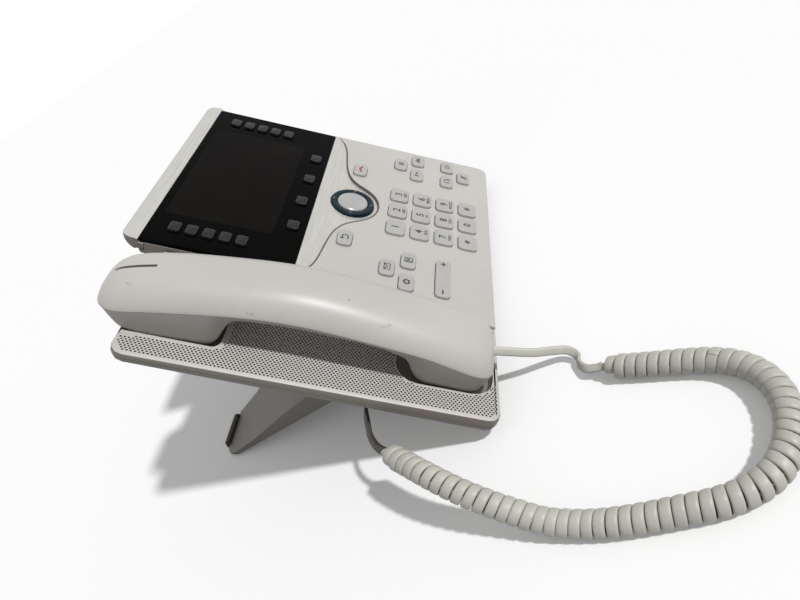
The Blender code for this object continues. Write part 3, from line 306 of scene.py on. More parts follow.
class PhoneSizes(bpy.types.PropertyGroup):
    cord_width: size("Cord Width", "Width of the flat cord", 5.0)
    cord_thickness: size("Cord Thickness", "Thickness of the flat cord", 2.3)
    coil_radius: size("Coil Radius", "From the curl's axis to the middle of the cord", 5.2)
    coil_pitch: size("Coil Pitch", "Distance between two turns along the curl", 5.3)
    hole_diameter: size("Hole Diameter", "Holes of the perforated deck", 1.1)
    hole_pitch_across: size("Hole Pitch Across", "Between two columns of holes", 1.35)
    hole_pitch_along: size("Hole Pitch Along", "Between two holes of one column", 2.08)
    deck_rim: size("Deck Rim", "From the flat's border to the middle of the nearest hole", 0.62)
    cup_border: size("Cup Border", "Plain border round a cup", 1.05)
    digit_height: size("Digit Height", "Figures on the dial keys", 5.4)
    letter_height: size("Letter Height", "Small letters under the figures", 2.3)
    print_thickness: size("Print Thickness", "How far printed marks stand proud", 0.03)


class PhoneColours(bpy.types.PropertyGroup):
    plastic: colour("Plastic", "Covers and handset", 0.54, 0.52, 0.49)
    # Handset Front is the covers' plastic made darker: painted shade on the shell that faces down.
    under: colour("Handset Front", "Shell with the ear and mouth holes", 0.36, 0.345, 0.32)
    # Flanks: the covers' plastic made darker, as painted shade on sides turned from the light.
    flank: colour("Flanks", "Sides of the deck and of the display", 0.2, 0.175, 0.15)
    # Groove: a real joint, made dark as painted shade of its gap.
    groove: colour("Groove", "Joint between the key panel and the silver frame", 0.12, 0.105, 0.09)
    # Holes: near black, painted shade for the inside of the deck's holes.
    hole: colour("Holes", "Floor of the deck's holes", 0.012, 0.011, 0.01)
    pad: colour("Pads", "Rubber under the stand's rear feet", 0.05, 0.042, 0.034)
    keys: colour("Keys", "Caps of the printed keys", 0.44, 0.435, 0.42)
    smoke: colour("Smoke Keys", "Caps of the keys beside the display", 0.016, 0.0155, 0.016)
    silver: colour("Silver", "Painted trim round the display", 0.55, 0.54, 0.51)
    glass: colour("Glass", "Black window over the display", 0.0016, 0.0015, 0.0013)
    panel_off: colour("Dark Display", "Switched-off display behind the glass", 0.0062, 0.0052, 0.0046)
    teal: colour("Ring", "Navigation ring", 0.004, 0.018, 0.028)
    steel: colour("Button", "Plated select button", 0.42, 0.42, 0.41)
    # Housing: darker than the covers' plastic, as painted shade on the housing and stand under the phone.
    taupe: colour("Housing", "Rear housing and stand", 0.21, 0.195, 0.17)
    rubber: colour("Rubber", "Feet, mat and speaker", 0.035, 0.03, 0.026)
    board: colour("Board", "Solder mask of the circuit board", 0.02, 0.12, 0.06)
    cord: colour("Cord", "Jacket of the curly cord", 0.52, 0.51, 0.455)
    # Base Lead: the curl's cord made dark, as painted shade under the phone.
    lead: colour("Base Lead", "Jacket of the lead into the phone", 0.045, 0.038, 0.028)
    lamp: colour("Lamp", "Lens of the message lamp, unlit", 0.03, 0.012, 0.01)
    print_dark: colour("Print", "Printed marks", 0.03, 0.031, 0.034)
    print_red: colour("Red Print", "Mark of the release key", 0.45, 0.05, 0.035)
    print_pale: colour("Pale Print", "Pips of the navigation ring", 0.45, 0.52, 0.55)


def sizes():
    return bpy.context.scene.phone_sizes


def colours():
    return bpy.context.scene.phone_colours


# ---- shared effects ----------------------------------------------------------------------
def new_group(name, inputs, outputs):
    """Empty shader node group with its sockets; gives the group, its inputs and its outputs."""
    group = bpy.data.node_groups.new(name, "ShaderNodeTree")
    for label, kind, default in inputs:
        socket = group.interface.new_socket(label, in_out="INPUT", socket_type="NodeSocket" + kind)
        if default is not None:
            socket.default_value = default
    for label, kind in outputs:
        group.interface.new_socket(label, in_out="OUTPUT", socket_type="NodeSocket" + kind)
    return group, group.nodes.new("NodeGroupInput").outputs, group.nodes.new("NodeGroupOutput").inputs


def give(tree, socket, value):
    """Links a socket to another node's output, or sets it to a number."""
    if isinstance(value, bpy.types.NodeSocket):
        tree.links.new(value, socket)
    else:
        socket.default_value = value


def add_noise(tree, vector, scale, detail=3.0, roughness=0.55):
    noise = tree.nodes.new("ShaderNodeTexNoise")
    noise.inputs["Detail"].default_value = detail
    noise.inputs["Roughness"].default_value = roughness
    give(tree, noise.inputs["Scale"], scale)
    tree.links.new(vector, noise.inputs["Vector"])
    return noise.outputs["Fac"]


def add_range(tree, value, low_in, high_in, low_out=0.0, high_out=1.0):
    node = tree.nodes.new("ShaderNodeMapRange")
    limits = {"From Min": low_in, "From Max": high_in, "To Min": low_out, "To Max": high_out}
    for label, limit in limits.items():
        give(tree, node.inputs[label], limit)
    tree.links.new(value, node.inputs["Value"])
    return node.outputs["Result"]


def add_math(tree, operation, first, second):
    node = tree.nodes.new("ShaderNodeMath")
    node.operation = operation
    give(tree, node.inputs[0], first)
    give(tree, node.inputs[1], second)
    return node.outputs["Value"]


def grain_group(name):
    """Fine spark-eroded grain of a mould: a height, finer pits on coarser ones."""
    group, given, result = new_group(
        name, [("Vector", "Vector", None), ("Scale", "Float", 2200.0)], [("Height", "Float")])
    fine = add_noise(group, given["Vector"], given["Scale"], 2.0)
    coarse_scale = add_math(group, "MULTIPLY", given["Scale"], 0.23)
    coarse = add_noise(group, given["Vector"], coarse_scale, 2.0)
    height = add_math(group, "ADD", fine, add_math(group, "MULTIPLY", coarse, 0.6))
    group.links.new(height, result["Height"])
    return group


def drift_group(name):
    """Slow change of tone over a surface, as years of light and handling leave it."""
    group, given, result = new_group(
        name, [("Vector", "Vector", None), ("Colour", "Color", (0.5, 0.5, 0.5, 1)),
               ("Amount", "Float", 0.05), ("Scale", "Float", 14.0)],
        [("Colour", "Color"), ("Mask", "Float")])
    cloud = add_noise(group, given["Vector"], given["Scale"], 4.0, 0.6)
    low = add_math(group, "SUBTRACT", 1.0, given["Amount"])
    high = add_math(group, "ADD", 1.0, given["Amount"])
    tone = group.nodes.new("ShaderNodeVectorMath")
    tone.operation = "SCALE"
    group.links.new(given["Colour"], tone.inputs[0])
    group.links.new(add_range(group, cloud, 0.3, 0.7, low, high), tone.inputs["Scale"])
    group.links.new(tone.outputs["Vector"], result["Colour"])
    group.links.new(cloud, result["Mask"])
    return group


def marks_group(name):
    """Sparse hair-fine scratches and soft smudges: two masks that are one on a mark."""
    group, given, result = new_group(
        name, [("Vector", "Vector", None), ("Density", "Float", 0.3)],
        [("Scratches", "Float"), ("Smudges", "Float")])
    mapping = group.nodes.new("ShaderNodeMapping")
    mapping.inputs["Rotation"].default_value = (0.3, 0.5, 0.7)
    mapping.inputs["Scale"].default_value = (1.0, 14.0, 14.0)
    group.links.new(given["Vector"], mapping.inputs["Vector"])
    streaks = add_noise(group, mapping.outputs["Vector"], 90.0, 3.0, 0.7)
    patches = add_noise(group, given["Vector"], 55.0, 3.0, 0.6)
    threshold = add_math(group, "SUBTRACT", 0.78, add_math(group, "MULTIPLY", given["Density"], 0.2))
    lines = add_range(group, streaks, threshold, add_math(group, "ADD", threshold, 0.03))
    spots = add_range(group, patches, 0.5, 0.62)
    group.links.new(add_math(group, "MULTIPLY", lines, spots), result["Scratches"])
    group.links.new(add_range(group, patches, 0.45, 0.75), result["Smudges"])
    return group


def scuff_group(name):
    """One scuff: a ragged mask that fades out over a radius round a place."""
    group, given, result = new_group(
        name, [("Vector", "Vector", None), ("Place", "Vector", None), ("Radius", "Float", 2 * MM)],
        [("Mask", "Float")])
    away = group.nodes.new("ShaderNodeVectorMath")
    away.operation = "DISTANCE"
    group.links.new(given["Vector"], away.inputs[0])
    group.links.new(given["Place"], away.inputs[1])
    fade = add_range(group, away.outputs["Value"], 0.0, given["Radius"], 1.0, 0.0)
    ragged = add_range(group, add_noise(group, given["Vector"], 1500.0), 0.4, 0.56)
    group.links.new(add_math(group, "MULTIPLY", fade, ragged), result["Mask"])
    return group


EFFECTS = {"Moulded Grain": grain_group, "Tone Drift": drift_group, "Handling Marks": marks_group,
           "Scuff": scuff_group}


# ---- finishes ----------------------------------------------------------------------------
# Place on the handset's back in the face's frame, and radius, both in millimetres.
SCUFFS = (((22.4, 69.0, 29.9), 1.5), ((22.0, 70.8, 29.7), 1.2), ((21.8, 72.6, 29.5), 1.0),
          ((23.2, 67.6, 30.4), 1.1), ((30.2, 90.5, 34.9), 1.3), ((16.8, 135.5, 25.2), 1.5),
          ((17.0, 138.0, 25.2), 1.3), ((25.4, 199.5, 20.2), 1.3), ((24.6, 197.6, 20.4), 1.2))
SCUFF_TINT = (0.2, 0.16, 0.12)
SMUDGE_SHADE = 0.93              # of the plastic's own colour
SCRATCH_SHADE = 0.55
HANDLED_COVER = 0.5              # how fully smudges and scratches cover the plastic
SCUFF_COVER = 0.75


def moulded(roughness, marks, scuffs=()):
    """Recipe of a fine-textured plastic with a slow drift of tone and a few handling marks."""
    return {"roughness": roughness, "sheen": (roughness - 0.06, roughness + 0.08),
            "drift": (0.05, 14.0), "grain": (2200.0, 0.02, 0.5), "marks": marks, "scuffs": scuffs}


def gloss(roughness, **more):
    """Recipe of a smooth shine, with whatever else the piece needs."""
    return {"roughness": roughness, "sheen": (roughness * 0.8, roughness * 1.25), "drift": (0.07, 60.0),
            **more}


def window(roughness):
    """Recipe of a black window: a clean gloss with faint dust."""
    return {"roughness": roughness, "sheen": (roughness * 0.6, roughness * 1.6), "drift": (0.25, 30.0),
            "specular": 0.02}


RUBBER = {"roughness": 0.8, "sheen": (0.72, 0.9), "drift": (0.15, 70.0), "grain": (1500.0, 0.04, 0.6)}
JACKET = {"roughness": 0.42, "sheen": (0.36, 0.52), "drift": (0.07, 45.0), "grain": (1800.0, 0.012, 0.35)}
PRINT = {"roughness": 0.5, "sheen": (0.45, 0.6), "drift": (0.15, 300.0)}
KEYCAP = {"roughness": 0.42, "sheen": (0.36, 0.5), "drift": (0.04, 60.0), "grain": (3200.0, 0.012, 0.4)}
SMOKE = {"roughness": 0.28, "sheen": (0.2, 0.32), "drift": (0.12, 90.0), "specular": 0.2}
# Satin metallic paint with a fine brushed flake along the trim.
SATIN = {"roughness": 0.34, "sheen": (0.3, 0.42), "drift": (0.09, 700.0), "grain": (3500.0, 0.008, 0.35),
         "metallic": 0.35, "stretch": (0.06, 1.0, 1.0)}

# Each finish: its colour among PhoneColours and its recipe.
FINISHES = {
    "warm_grey_plastic": ("plastic", moulded(0.42, 0.25)),
    "handset_plastic": ("plastic", moulded(0.38, 0.55, SCUFFS)),
    # the handset's front: a darker copy of the plastic, as painted shade
    "handset_under": ("under", moulded(0.45, 0.3)),
    # deck and display flanks: a darker copy of the plastic, as painted shade
    "shade_plastic": ("flank", moulded(0.5, 0.1)),
    "deck_plastic": ("plastic", moulded(0.46, 0.1)),
    "taupe_plastic": ("taupe", moulded(0.5, 0.2)),
    "key_plastic": ("keys", KEYCAP),
    "smoke_key": ("smoke", SMOKE),
    "silver_trim": ("silver", SATIN),
    "black_glass": ("glass", window(0.05)),
    "dark_display": ("panel_off", window(0.09)),
    "dark_teal": ("teal", gloss(0.3, specular=0.15)),
    "steel": ("steel", gloss(0.24, metallic=0.2)),
    "board_green": ("board", gloss(0.35)),
    "lcd": ("panel_off", gloss(0.2)),
    "lamp": ("lamp", gloss(0.2)),
    "rubber": ("rubber", RUBBER),
    "pad_rubber": ("pad", RUBBER),
    "groove_dark": ("groove", RUBBER),
    "hole_dark": ("hole", RUBBER),
    "ivory_cord": ("cord", JACKET),
    "dark_lead": ("lead", JACKET),
    "print_dark": ("print_dark", PRINT),
    "print_red": ("print_red", PRINT),
    "print_pale": ("print_pale", PRINT),
}


class Finish:
    """One material: a Principled shader fed by the shared effects on object coordinates."""

    def __init__(self, name, roughness, metallic, specular, stretch):
        self.material = bpy.data.materials.new(name)
        self.material.use_nodes = True
        self.tree = self.material.node_tree
        self.shader = self.tree.nodes["Principled BSDF"]
        self.shader.inputs["Roughness"].default_value = roughness
        self.shader.inputs["Metallic"].default_value = metallic
        self.shader.inputs["Specular IOR Level"].default_value = specular
        self.vector = self.tree.nodes.new("ShaderNodeTexCoord").outputs["Object"]
        if stretch:
            mapping = self.tree.nodes.new("ShaderNodeMapping")
            mapping.inputs["Scale"].default_value = stretch
            self.tree.links.new(self.vector, mapping.inputs["Vector"])
            self.vector = mapping.outputs["Vector"]

    def place(self, name, **values):
        """Puts a shared effect in the material, sets its inputs and gives its outputs."""
        node = self.tree.nodes.new("ShaderNodeGroup")
        node.node_tree = bpy.data.node_groups.get(name) or EFFECTS[name](name)
        self.tree.links.new(self.vector, node.inputs["Vector"])
        for label, value in values.items():
            node.inputs[label].default_value = value
        return node.outputs

    def feed(self, output, label):
        self.tree.links.new(output, self.shader.inputs[label])

    def tone(self, base, amount, scale):
        """Drifting base colour; gives the mask of the drift."""
        drift = self.place("Tone Drift", Colour=(*base, 1), Amount=amount, Scale=scale)
        self.colour = drift["Colour"]
        self.feed(self.colour, "Base Color")
        return drift["Mask"]

    def grain(self, scale, depth, strength):
        """Bump from the mould's grain, with a depth in millimetres."""
        grain = self.place("Moulded Grain", Scale=scale)
        bump = self.tree.nodes.new("ShaderNodeBump")
        bump.inputs["Distance"].default_value = depth * MM
        bump.inputs["Strength"].default_value = strength
        self.tree.links.new(grain["Height"], bump.inputs["Height"])
        self.feed(bump.outputs["Normal"], "Normal")

    def darken(self, mask, shade, amount):
        """Mixes a darker colour over the base where the mask is one."""
        mix = self.tree.nodes.new("ShaderNodeMix")
        mix.data_type = "RGBA"
        self.tree.links.new(add_math(self.tree, "MULTIPLY", mask, amount), mix.inputs["Factor"])
        self.tree.links.new(self.colour, mix.inputs["A"])
        mix.inputs["B"].default_value = (*shade, 1)
        self.colour = mix.outputs["Result"]
        self.feed(self.colour, "Base Color")


def make_finish(name, base, roughness, sheen, drift, grain=None, marks=0.0, scuffs=(), metallic=0.0,
                specular=0.5, stretch=None):
    """Material of a recipe; its roughness runs between two values with the drift of its tone."""
    made = Finish(name, roughness, metallic, specular, stretch)
    mask = made.tone(base, *drift)
    made.feed(add_range(made.tree, mask, 0.0, 1.0, *sheen), "Roughness")
    if grain:
        made.grain(*grain)
    if marks:
        handled = made.place("Handling Marks", Density=marks)
        made.darken(handled["Smudges"], [SMUDGE_SHADE * part for part in base], HANDLED_COVER)
        made.darken(handled["Scratches"], [SCRATCH_SHADE * part for part in base], HANDLED_COVER)
    for place, radius in scuffs:
        scuff = made.place("Scuff", Place=FACE @ (Vector(place) * MM), Radius=radius * MM)
        made.darken(scuff["Mask"], SCUFF_TINT, SCUFF_COVER)
    return made.material


def finish(name):
    """The material of a name, made on first use."""
    tint, recipe = FINISHES[name]
    name = "phone_" + name
    return bpy.data.materials.get(name) or make_finish(name, getattr(colours(), tint), **recipe)


# ---- cords -------------------------------------------------------------------------------
# Routes of the cords' middles in millimetres, from the face's front edge on the desk.
COIL_ROUTE = (
    (-143.6, 57, 33), (-153, 45, 33), (-162, 33, 31.5), (-169, 22, 27.5), (-175, 10, 21.5),
    (-180, -3, 14.5), (-184.5, -16, 9), (-187.5, -30, 6.7), (-189.4, -43, 6.6), (-190.1, -57, 6.6),
    (-190, -72, 6.6), (-189.5, -87, 6.6), (-186.5, -100, 6.6), (-180, -110.5, 6.6), (-170, -118, 6.6),
    (-158, -122.3, 6.6), (-146, -123, 6.6), (-135, -119.8, 6.6), (-126.5, -113, 6.6), (-121, -104, 6.6),
    (-117.5, -94, 6.6), (-114.5, -83, 6.6), (-111.5, -72, 6.6), (-108.5, -62, 6.6), (-106, -54, 6.6),
)
HANDSET_LEAD_ROUTE = (
    (-91.7, -6.4, 25.6), (-91.5, -13, 21.5), (-90.5, -22, 15.5), (-88.5, -31, 10.5), (-88, -38, 7),
    (-91.5, -42, 4.6), (-98, -42.6, 4), (-103.4, -46.4, 5.4), (-105.9, -53.6, 6.6),
)
BASE_LEAD_ROUTE = (
    (-105.95, 68.45, 40.55), (-113, 68.45, 40.5), (-119.5, 68.3, 39.4), (-126, 67.7, 36.9),
    (-132.5, 66.6, 34.6), (-139, 62.6, 33.3), (-143.35, 57.3, 33),
)
LEAD_WIDTH_HINT = Vector((0.67, -0.37, 0.64))
LEAD_STEP = 1.2 * MM             # between two sections of a lead
POINTS_PER_TURN = 20
SECTION_POINTS = 14
SECTION_POWER = 3.0              # over two, the cord's section is squarer than an oval
TURNS_WITH_LEAD = 10             # of the curl, that bend with the lead into the handset
RAMP_TURNS = 1.5                 # over which the curl opens at each end
NECK = 0.12                      # share of its radius with which it starts
PLUG_REACH = 8.0 * MM            # how far the lead's end goes into the handset
PLUG_STEPS = 4
LEAD_TWIST = 22                  # points over which a lead turns to meet the curl
BEZIER_STEPS = 30


def smooth_route(route, spacing):
    """Evenly spaced world points on a smooth curve through a route."""
    knots = [desk_point(point) for point in route]
    dense = []
    for k, (start, end) in enumerate(zip(knots, knots[1:])):
        before = knots[max(k - 1, 0)]
        after = knots[min(k + 2, len(knots) - 1)]
        handles = (start, start + (end - before) / 6, end - (after - start) / 6, end)
        dense += interpolate_bezier(*handles, BEZIER_STEPS)[:-1]
    dense.append(knots[-1])
    length = line_length(dense)
    count = max(round(length / spacing), 3)
    points = [dense[0]]
    walked = 0
    for a, b in zip(dense, dense[1:]):
        step = (b - a).length
        while len(points) < count and walked + step >= length * len(points) / count:
            points.append(a.lerp(b, (length * len(points) / count - walked) / step))
        walked += step
    points.append(dense[-1])
    return points


def line_length(points):
    return sum((b - a).length for a, b in zip(points, points[1:]))


def directions(points):
    """Unit tangent at each point of a line."""
    ahead = points[1:] + points[-1:]
    behind = points[:1] + points[:-1]
    return [(after - before).normalized() for after, before in zip(ahead, behind)]


def wound(axis, radius, pitch):
    """Left-handed helix about a line, drawn in at both ends: its points and their width directions."""
    tangents = directions(axis)
    side = tangents[0].orthogonal().normalized()
    spacing = (axis[1] - axis[0]).length
    turns = spacing * (len(axis) - 1) / pitch
    points = []
    faces_out = []
    for k, (centre, along) in enumerate(zip(axis, tangents)):
        side = (side - along * side.dot(along)).normalized()
        up = along.cross(side)
        turn = k * spacing / pitch
        ramp = min(min(turn, turns - turn) / RAMP_TURNS, 1)
        ramp = ramp * ramp * (3 - 2 * ramp)
        angle = 2 * math.pi * turn
        outward = side * math.cos(angle) - up * math.sin(angle)
        points.append(centre + outward * radius * (NECK + (1 - NECK) * ramp))
        faces_out.append(outward)
    widths = [along.cross(outward).normalized() for along, outward in zip(directions(points), faces_out)]
    return points, widths


def hinted(points, hint):
    """Width direction across each tangent, as near a hint as it can be."""
    return [(hint - along * hint.dot(along)).normalized() for along in directions(points)]


def rounded(value, power):
    """Sine or cosine of a circle, as it is on a squarer oval of a power."""
    return math.copysign(abs(value) ** (2 / power), value)


def swept_cord(name, points, widths, material):
    """Closed flat cord along points, with rounded edges and closed ends."""
    half_width = sizes().cord_width / 2
    half_thick = sizes().cord_thickness / 2
    mesh = bmesh.new()
    rings = []
    for point, width, along in zip(points, widths, directions(points)):
        width = (width - along * width.dot(along)).normalized()
        thick = along.cross(width)
        ring = []
        for k in range(SECTION_POINTS):
            angle = 2 * math.pi * k / SECTION_POINTS
            across = rounded(math.cos(angle), SECTION_POWER)
            rise = rounded(math.sin(angle), SECTION_POWER)
            ring.append(mesh.verts.new(point + width * half_width * across + thick * half_thick * rise))
        rings.append(ring)
    for lower, upper in zip(rings, rings[1:]):
        for k in range(SECTION_POINTS):
            following = (k + 1) % SECTION_POINTS
            mesh.faces.new((lower[k], lower[following], upper[following], upper[k]))
    mesh.faces.new(rings[0][::-1])
    mesh.faces.new(rings[-1])
    bmesh.ops.recalc_face_normals(mesh, faces=mesh.faces)
    obj = built(name, mesh)
    smooth(obj, 50)
    set_material(obj, finish(material))
    return obj


def join_lead(lead, lead_widths, turns, turn_widths):
    """Lead from the handset and the coil's last turns as one line, with no jump between them."""
    back_widths = turn_widths[::-1]
    if back_widths[0].dot(lead_widths[-1]) < 0:
        back_widths = [-width for width in back_widths]
    easing = [min(k / LEAD_TWIST, 1) for k in range(len(lead) - 1, 0, -1)]
    eased = [back_widths[0].lerp(width, share) for width, share in zip(lead_widths, easing)]
    return lead[:-1] + turns[::-1], eased + back_widths


class PHONE_OT_cords(bpy.types.Operator):
    """Curly cord with its lead to the handset and its lead into the phone"""
    bl_idname = "phone.cords"
    bl_label = "Curly Cord and Leads"

    def execute(self, context):
        handset = BODY_OF["handset_inner_shell"]
        pitch = sizes().coil_pitch
        axis = smooth_route(COIL_ROUTE, pitch / POINTS_PER_TURN)
        coil, coil_widths = wound(axis, sizes().coil_radius, pitch)
        split = len(coil) - TURNS_WITH_LEAD * POINTS_PER_TURN
        curl = coil[:split + 1]
        curly = swept_cord("curly_cord", curl, coil_widths[:split + 1], "ivory_cord")
        finish_piece(curly, "base", "ivory_cord", "cord_coil")

        lead = smooth_route(HANDSET_LEAD_ROUTE, LEAD_STEP)
        lead_widths = hinted(lead, LEAD_WIDTH_HINT)
        lead_path, width_path = join_lead(lead, lead_widths, coil[split:], coil_widths[split:])
        handset_lead = swept_cord("handset_lead_cord", lead_path, width_path, "ivory_cord")
        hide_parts("handset_lead")
        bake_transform(handset_lead)

        into_handset = (lead[0] - lead[1]).normalized()
        plug_path = [lead[0] + into_handset * k * PLUG_REACH / PLUG_STEPS for k in range(PLUG_STEPS + 1)]
        plug = swept_cord("handset_plug_end", plug_path, hinted(plug_path, LEAD_WIDTH_HINT), "ivory_cord")
        finish_piece(plug, handset, "ivory_cord")

        base_path = smooth_route(BASE_LEAD_ROUTE, LEAD_STEP)
        # the lead into the phone is the curl's cord, made dark as painted shade
        base_lead = swept_cord("base_lead_cord", base_path, hinted(base_path, LEAD_WIDTH_HINT), "dark_lead")
        finish_piece(base_lead, "base", "rubber", "base_lead")

        return {"FINISHED"}


# ---- perforated deck ---------------------------------------------------------------------
HOLE_SIDES = 8
HOLE_DEPTH = 1.2 * MM
# Corners and mid-sides of a cell round its hole, in half pitches.
CELL_RING = ((-1, -1), (0, -1), (1, -1), (1, 0), (1, 1), (0, 1), (-1, 1), (-1, 0))
LEVEL = 0.03 * MM                # the deck's top is flat to this
CUP_INSET = 3 * MM               # a cup's border lies this far inside the deck's outline
CUP_END = 0.85                   # and left of this share of its width, less four insets
CUP_FRONT = 149.1 * MM
LINER_HALF = 23.6 * MM
LINER_WALL = 2.3 * MM
LINER_DEPTH = 4.0 * MM
LINER_CORNER = 7.0 * MM
LINER_BACK = 2.0 * MM            # from the deck's upper end
LINER_TOP = -3.05 * MM           # at the middle of the ear cup
SIDE_SHADE_SLOT = 1                    # material slots of the deck for painted shade: its sides and cup walls, then its holes
HOLE_SHADE_SLOT = 2
SIDE_SLOPE = 0.45                # a face that leans more than this is part of a side
CUP_SHADE = -4.5 * MM            # a face deeper than this is inside a cup, and takes painted shade


def segment_distance(point, start, end):
    along = end - start
    share = (point - start).dot(along) / max(along.length_squared, 1e-18)
    return (point - start - along * max(0.0, min(1.0, share))).length


def inside_loops(point, segments):
    """Even-odd test of a flat point against all border segments."""
    inside = False
    for start, end in segments:
        if (start.y > point.y) != (end.y > point.y):
            cross = start.x + (point.y - start.y) * (end.x - start.x) / (end.y - start.y)
            if point.x < cross:
                inside = not inside
    return inside


def open_deck_top(mesh):
    """Deletes the deck's flat top; gives its plane's normal, a point of it and its border edges."""
    top = max((face for face in mesh.faces if face.normal.z > 0.99), key=lambda face: face.calc_area())
    normal = top.normal.copy()
    anchor = top.calc_center_median()
    flat = [face for face in mesh.faces if face.normal.dot(normal) > 0.9999
            and abs((face.calc_center_median() - anchor).dot(normal)) < LEVEL]
    bmesh.ops.delete(mesh, geom=flat, context="FACES")
    return normal, anchor, [edge for edge in mesh.edges if edge.is_boundary]


def deck_cells(segments, cup_segments):
    """Places of the holes: columns half a step apart, clear of the rim and of the cups' borders."""
    options = sizes()
    low, high = face_box("cradle_deck")
    columns = int((high.x - low.x) / options.hole_pitch_across)
    rows = int((high.y - low.y) / options.hole_pitch_along) + 1
    cells = {}
    for column in range(columns):
        for row in range(rows):
            place = Vector((low.x + (column + 0.5) * options.hole_pitch_across,
                            low.y + (row + 0.5 * (column % 2)) * options.hole_pitch_along))
            from_rim = min(segment_distance(place, *segment) for segment in segments)
            from_cup = min(segment_distance(place, *segment) for segment in cup_segments)
            clear = from_rim >= options.deck_rim and from_cup >= options.cup_border
            if clear and inside_loops(place, segments):
                cells[column, row] = place
    return cells


def in_cell(point, cells, low):
    """Whether a flat point lies in one of the lattice's cells."""
    column = int((point.x - low.x) / sizes().hole_pitch_across)
    row = round((point.y - low.y) / sizes().hole_pitch_along - 0.5 * (column % 2))
    return (column, row) in cells


def perforate(deck):
    """Gives the deck's flat top its lattice of small holes, filled out to the plain border."""
    options = sizes()
    mesh = bmesh.new()
    mesh.from_mesh(deck.data)
    mesh.transform(TO_FACE)
    mesh.normal_update()
    normal, anchor, border = open_deck_top(mesh)
    low, high = face_box("cradle_deck")
    segments = [tuple(vertex.co.to_2d() for vertex in edge.verts) for edge in border]
    right = low.x + (high.x - low.x) * CUP_END - 4 * CUP_INSET
    cup_segments = []
    for start, end in segments:
        middle = (start + end) / 2
        if low.x + CUP_INSET < middle.x < right and low.y + CUP_INSET < middle.y < high.y - CUP_INSET:
            cup_segments.append((start, end))
    cells = deck_cells(segments, cup_segments)

    def corner(u, v, drop=0.0):
        rise = normal.x * (u - anchor.x) + normal.y * (v - anchor.y)
        return mesh.verts.new((u, v, anchor.z - rise / normal.z - drop))

    corners = {}
    for (column, row), place in cells.items():
        ring = []
        for side, rise in CELL_RING:
            key = (2 * column + side, 2 * row + column % 2 + rise)
            if key not in corners:
                corners[key] = corner(place.x + side * options.hole_pitch_across / 2,
                                      place.y + rise * options.hole_pitch_along / 2)
            ring.append(corners[key])
        hole = []
        floor = []
        for k in range(HOLE_SIDES):
            angle = -3 * math.pi / 4 + k * 2 * math.pi / HOLE_SIDES
            u = place.x + options.hole_diameter / 2 * math.cos(angle)
            v = place.y + options.hole_diameter / 2 * math.sin(angle)
            hole.append(corner(u, v))
            floor.append(corner(u, v, HOLE_DEPTH))
        for k in range(HOLE_SIDES):
            following = (k + 1) % HOLE_SIDES
            mesh.faces.new((ring[k], ring[following], hole[following], hole[k]))
            # each hole's walls and floor take the near-black holes' colour: painted shade
            wall = mesh.faces.new((hole[k], hole[following], floor[following], floor[k]))
            wall.material_index = HOLE_SHADE_SLOT
        mesh.faces.new(floor).material_index = HOLE_SHADE_SLOT
    fill_margin(mesh, segments, cells, low)
    mesh.transform(FACE)
    mesh.to_mesh(deck.data)
    mesh.free()


def fill_margin(mesh, segments, cells, low):
    """Triangles between the lattice's ragged edge and the smooth border."""
    edges = [edge for edge in mesh.edges if edge.is_boundary]
    vertices = list(dict.fromkeys(vertex for edge in edges for vertex in edge.verts))
    number = {vertex: k for k, vertex in enumerate(vertices)}
    flat = [vertex.co.to_2d() / MM for vertex in vertices]
    pairs = [tuple(number[vertex] for vertex in edge.verts) for edge in edges]
    made, _, faces, origin, _, _ = delaunay_2d_cdt(flat, pairs, [], 0, 1e-5)
    for face in faces:
        if not all(origin[k] for k in face):
            continue
        middle = sum((made[k] * MM for k in face), Vector((0, 0))) / len(face)
        if not inside_loops(middle, segments) or in_cell(middle, cells, low):
            continue
        corners = [vertices[origin[k][0]] for k in face]
        if mesh.faces.get(corners) is None:
            filler = mesh.faces.new(corners)
            filler.normal_update()
            if filler.normal.z < 0:
                filler.normal_flip()


def tint_sides(deck):
    """Gives the deck's flanks and the walls of its cups a darker colour: painted shade."""
    turn = TO_FACE.to_3x3()
    for face in deck.data.polygons:
        if (turn @ face.normal).z < SIDE_SLOPE or (TO_FACE @ face.center).z < CUP_SHADE:
            face.material_index = max(face.material_index, SIDE_SHADE_SLOT)


def ear_cup_liner():
    """Smooth liner of the ear cup: a rim flush with the deck on three sides, open at the back."""
    low, high = face_box("handset_outer_shell")
    back = face_box("cradle_deck")[1].y - LINER_BACK
    liner = block("ear_cup_liner", (2 * LINER_HALF, back - CUP_FRONT, LINER_DEPTH))
    with editing(liner):
        pick(liner, lambda edge: upright(edge) and edge.verts[0].co.y < 0, "EDGE")
        bpy.ops.mesh.bevel(offset=LINER_CORNER, segments=8, affect="EDGES")
        pick(liner, lambda face: abs(face.normal.z) > 0.9 or face.normal.y > 0.9)
        bpy.ops.mesh.delete(type="FACE")
        bpy.ops.mesh.select_all(action="SELECT")
        bpy.ops.mesh.normals_make_consistent(inside=False)
    thicken(liner, LINER_WALL)
    soften(liner, 0.6 * MM, segments=3, angle=60)
    smooth(liner, 40)
    to_face(liner, (low.x + high.x) / 2, (CUP_FRONT + back) / 2, LINER_TOP - LINER_DEPTH / 2)
    return liner


class PHONE_OT_deck(bpy.types.Operator):
    """Cradle deck with its lattice of small holes and a cup for each end of the handset"""
    bl_idname = "phone.deck"
    bl_label = "Perforated Deck"

    def execute(self, context):
        deck = refined("cradle_deck", "perforated_deck", 0.3 * MM)
        set_material(deck, finish("deck_plastic"), finish("shade_plastic"), finish("hole_dark"))
        perforate(deck)
        smooth(deck)
        tint_sides(deck)
        finish_piece(deck, "base", "warm_grey_plastic", "cradle_deck")
        liner = ear_cup_liner()
        set_material(liner, finish("warm_grey_plastic"))
        finish_piece(liner, "base", "warm_grey_plastic")
        return {"FINISHED"}


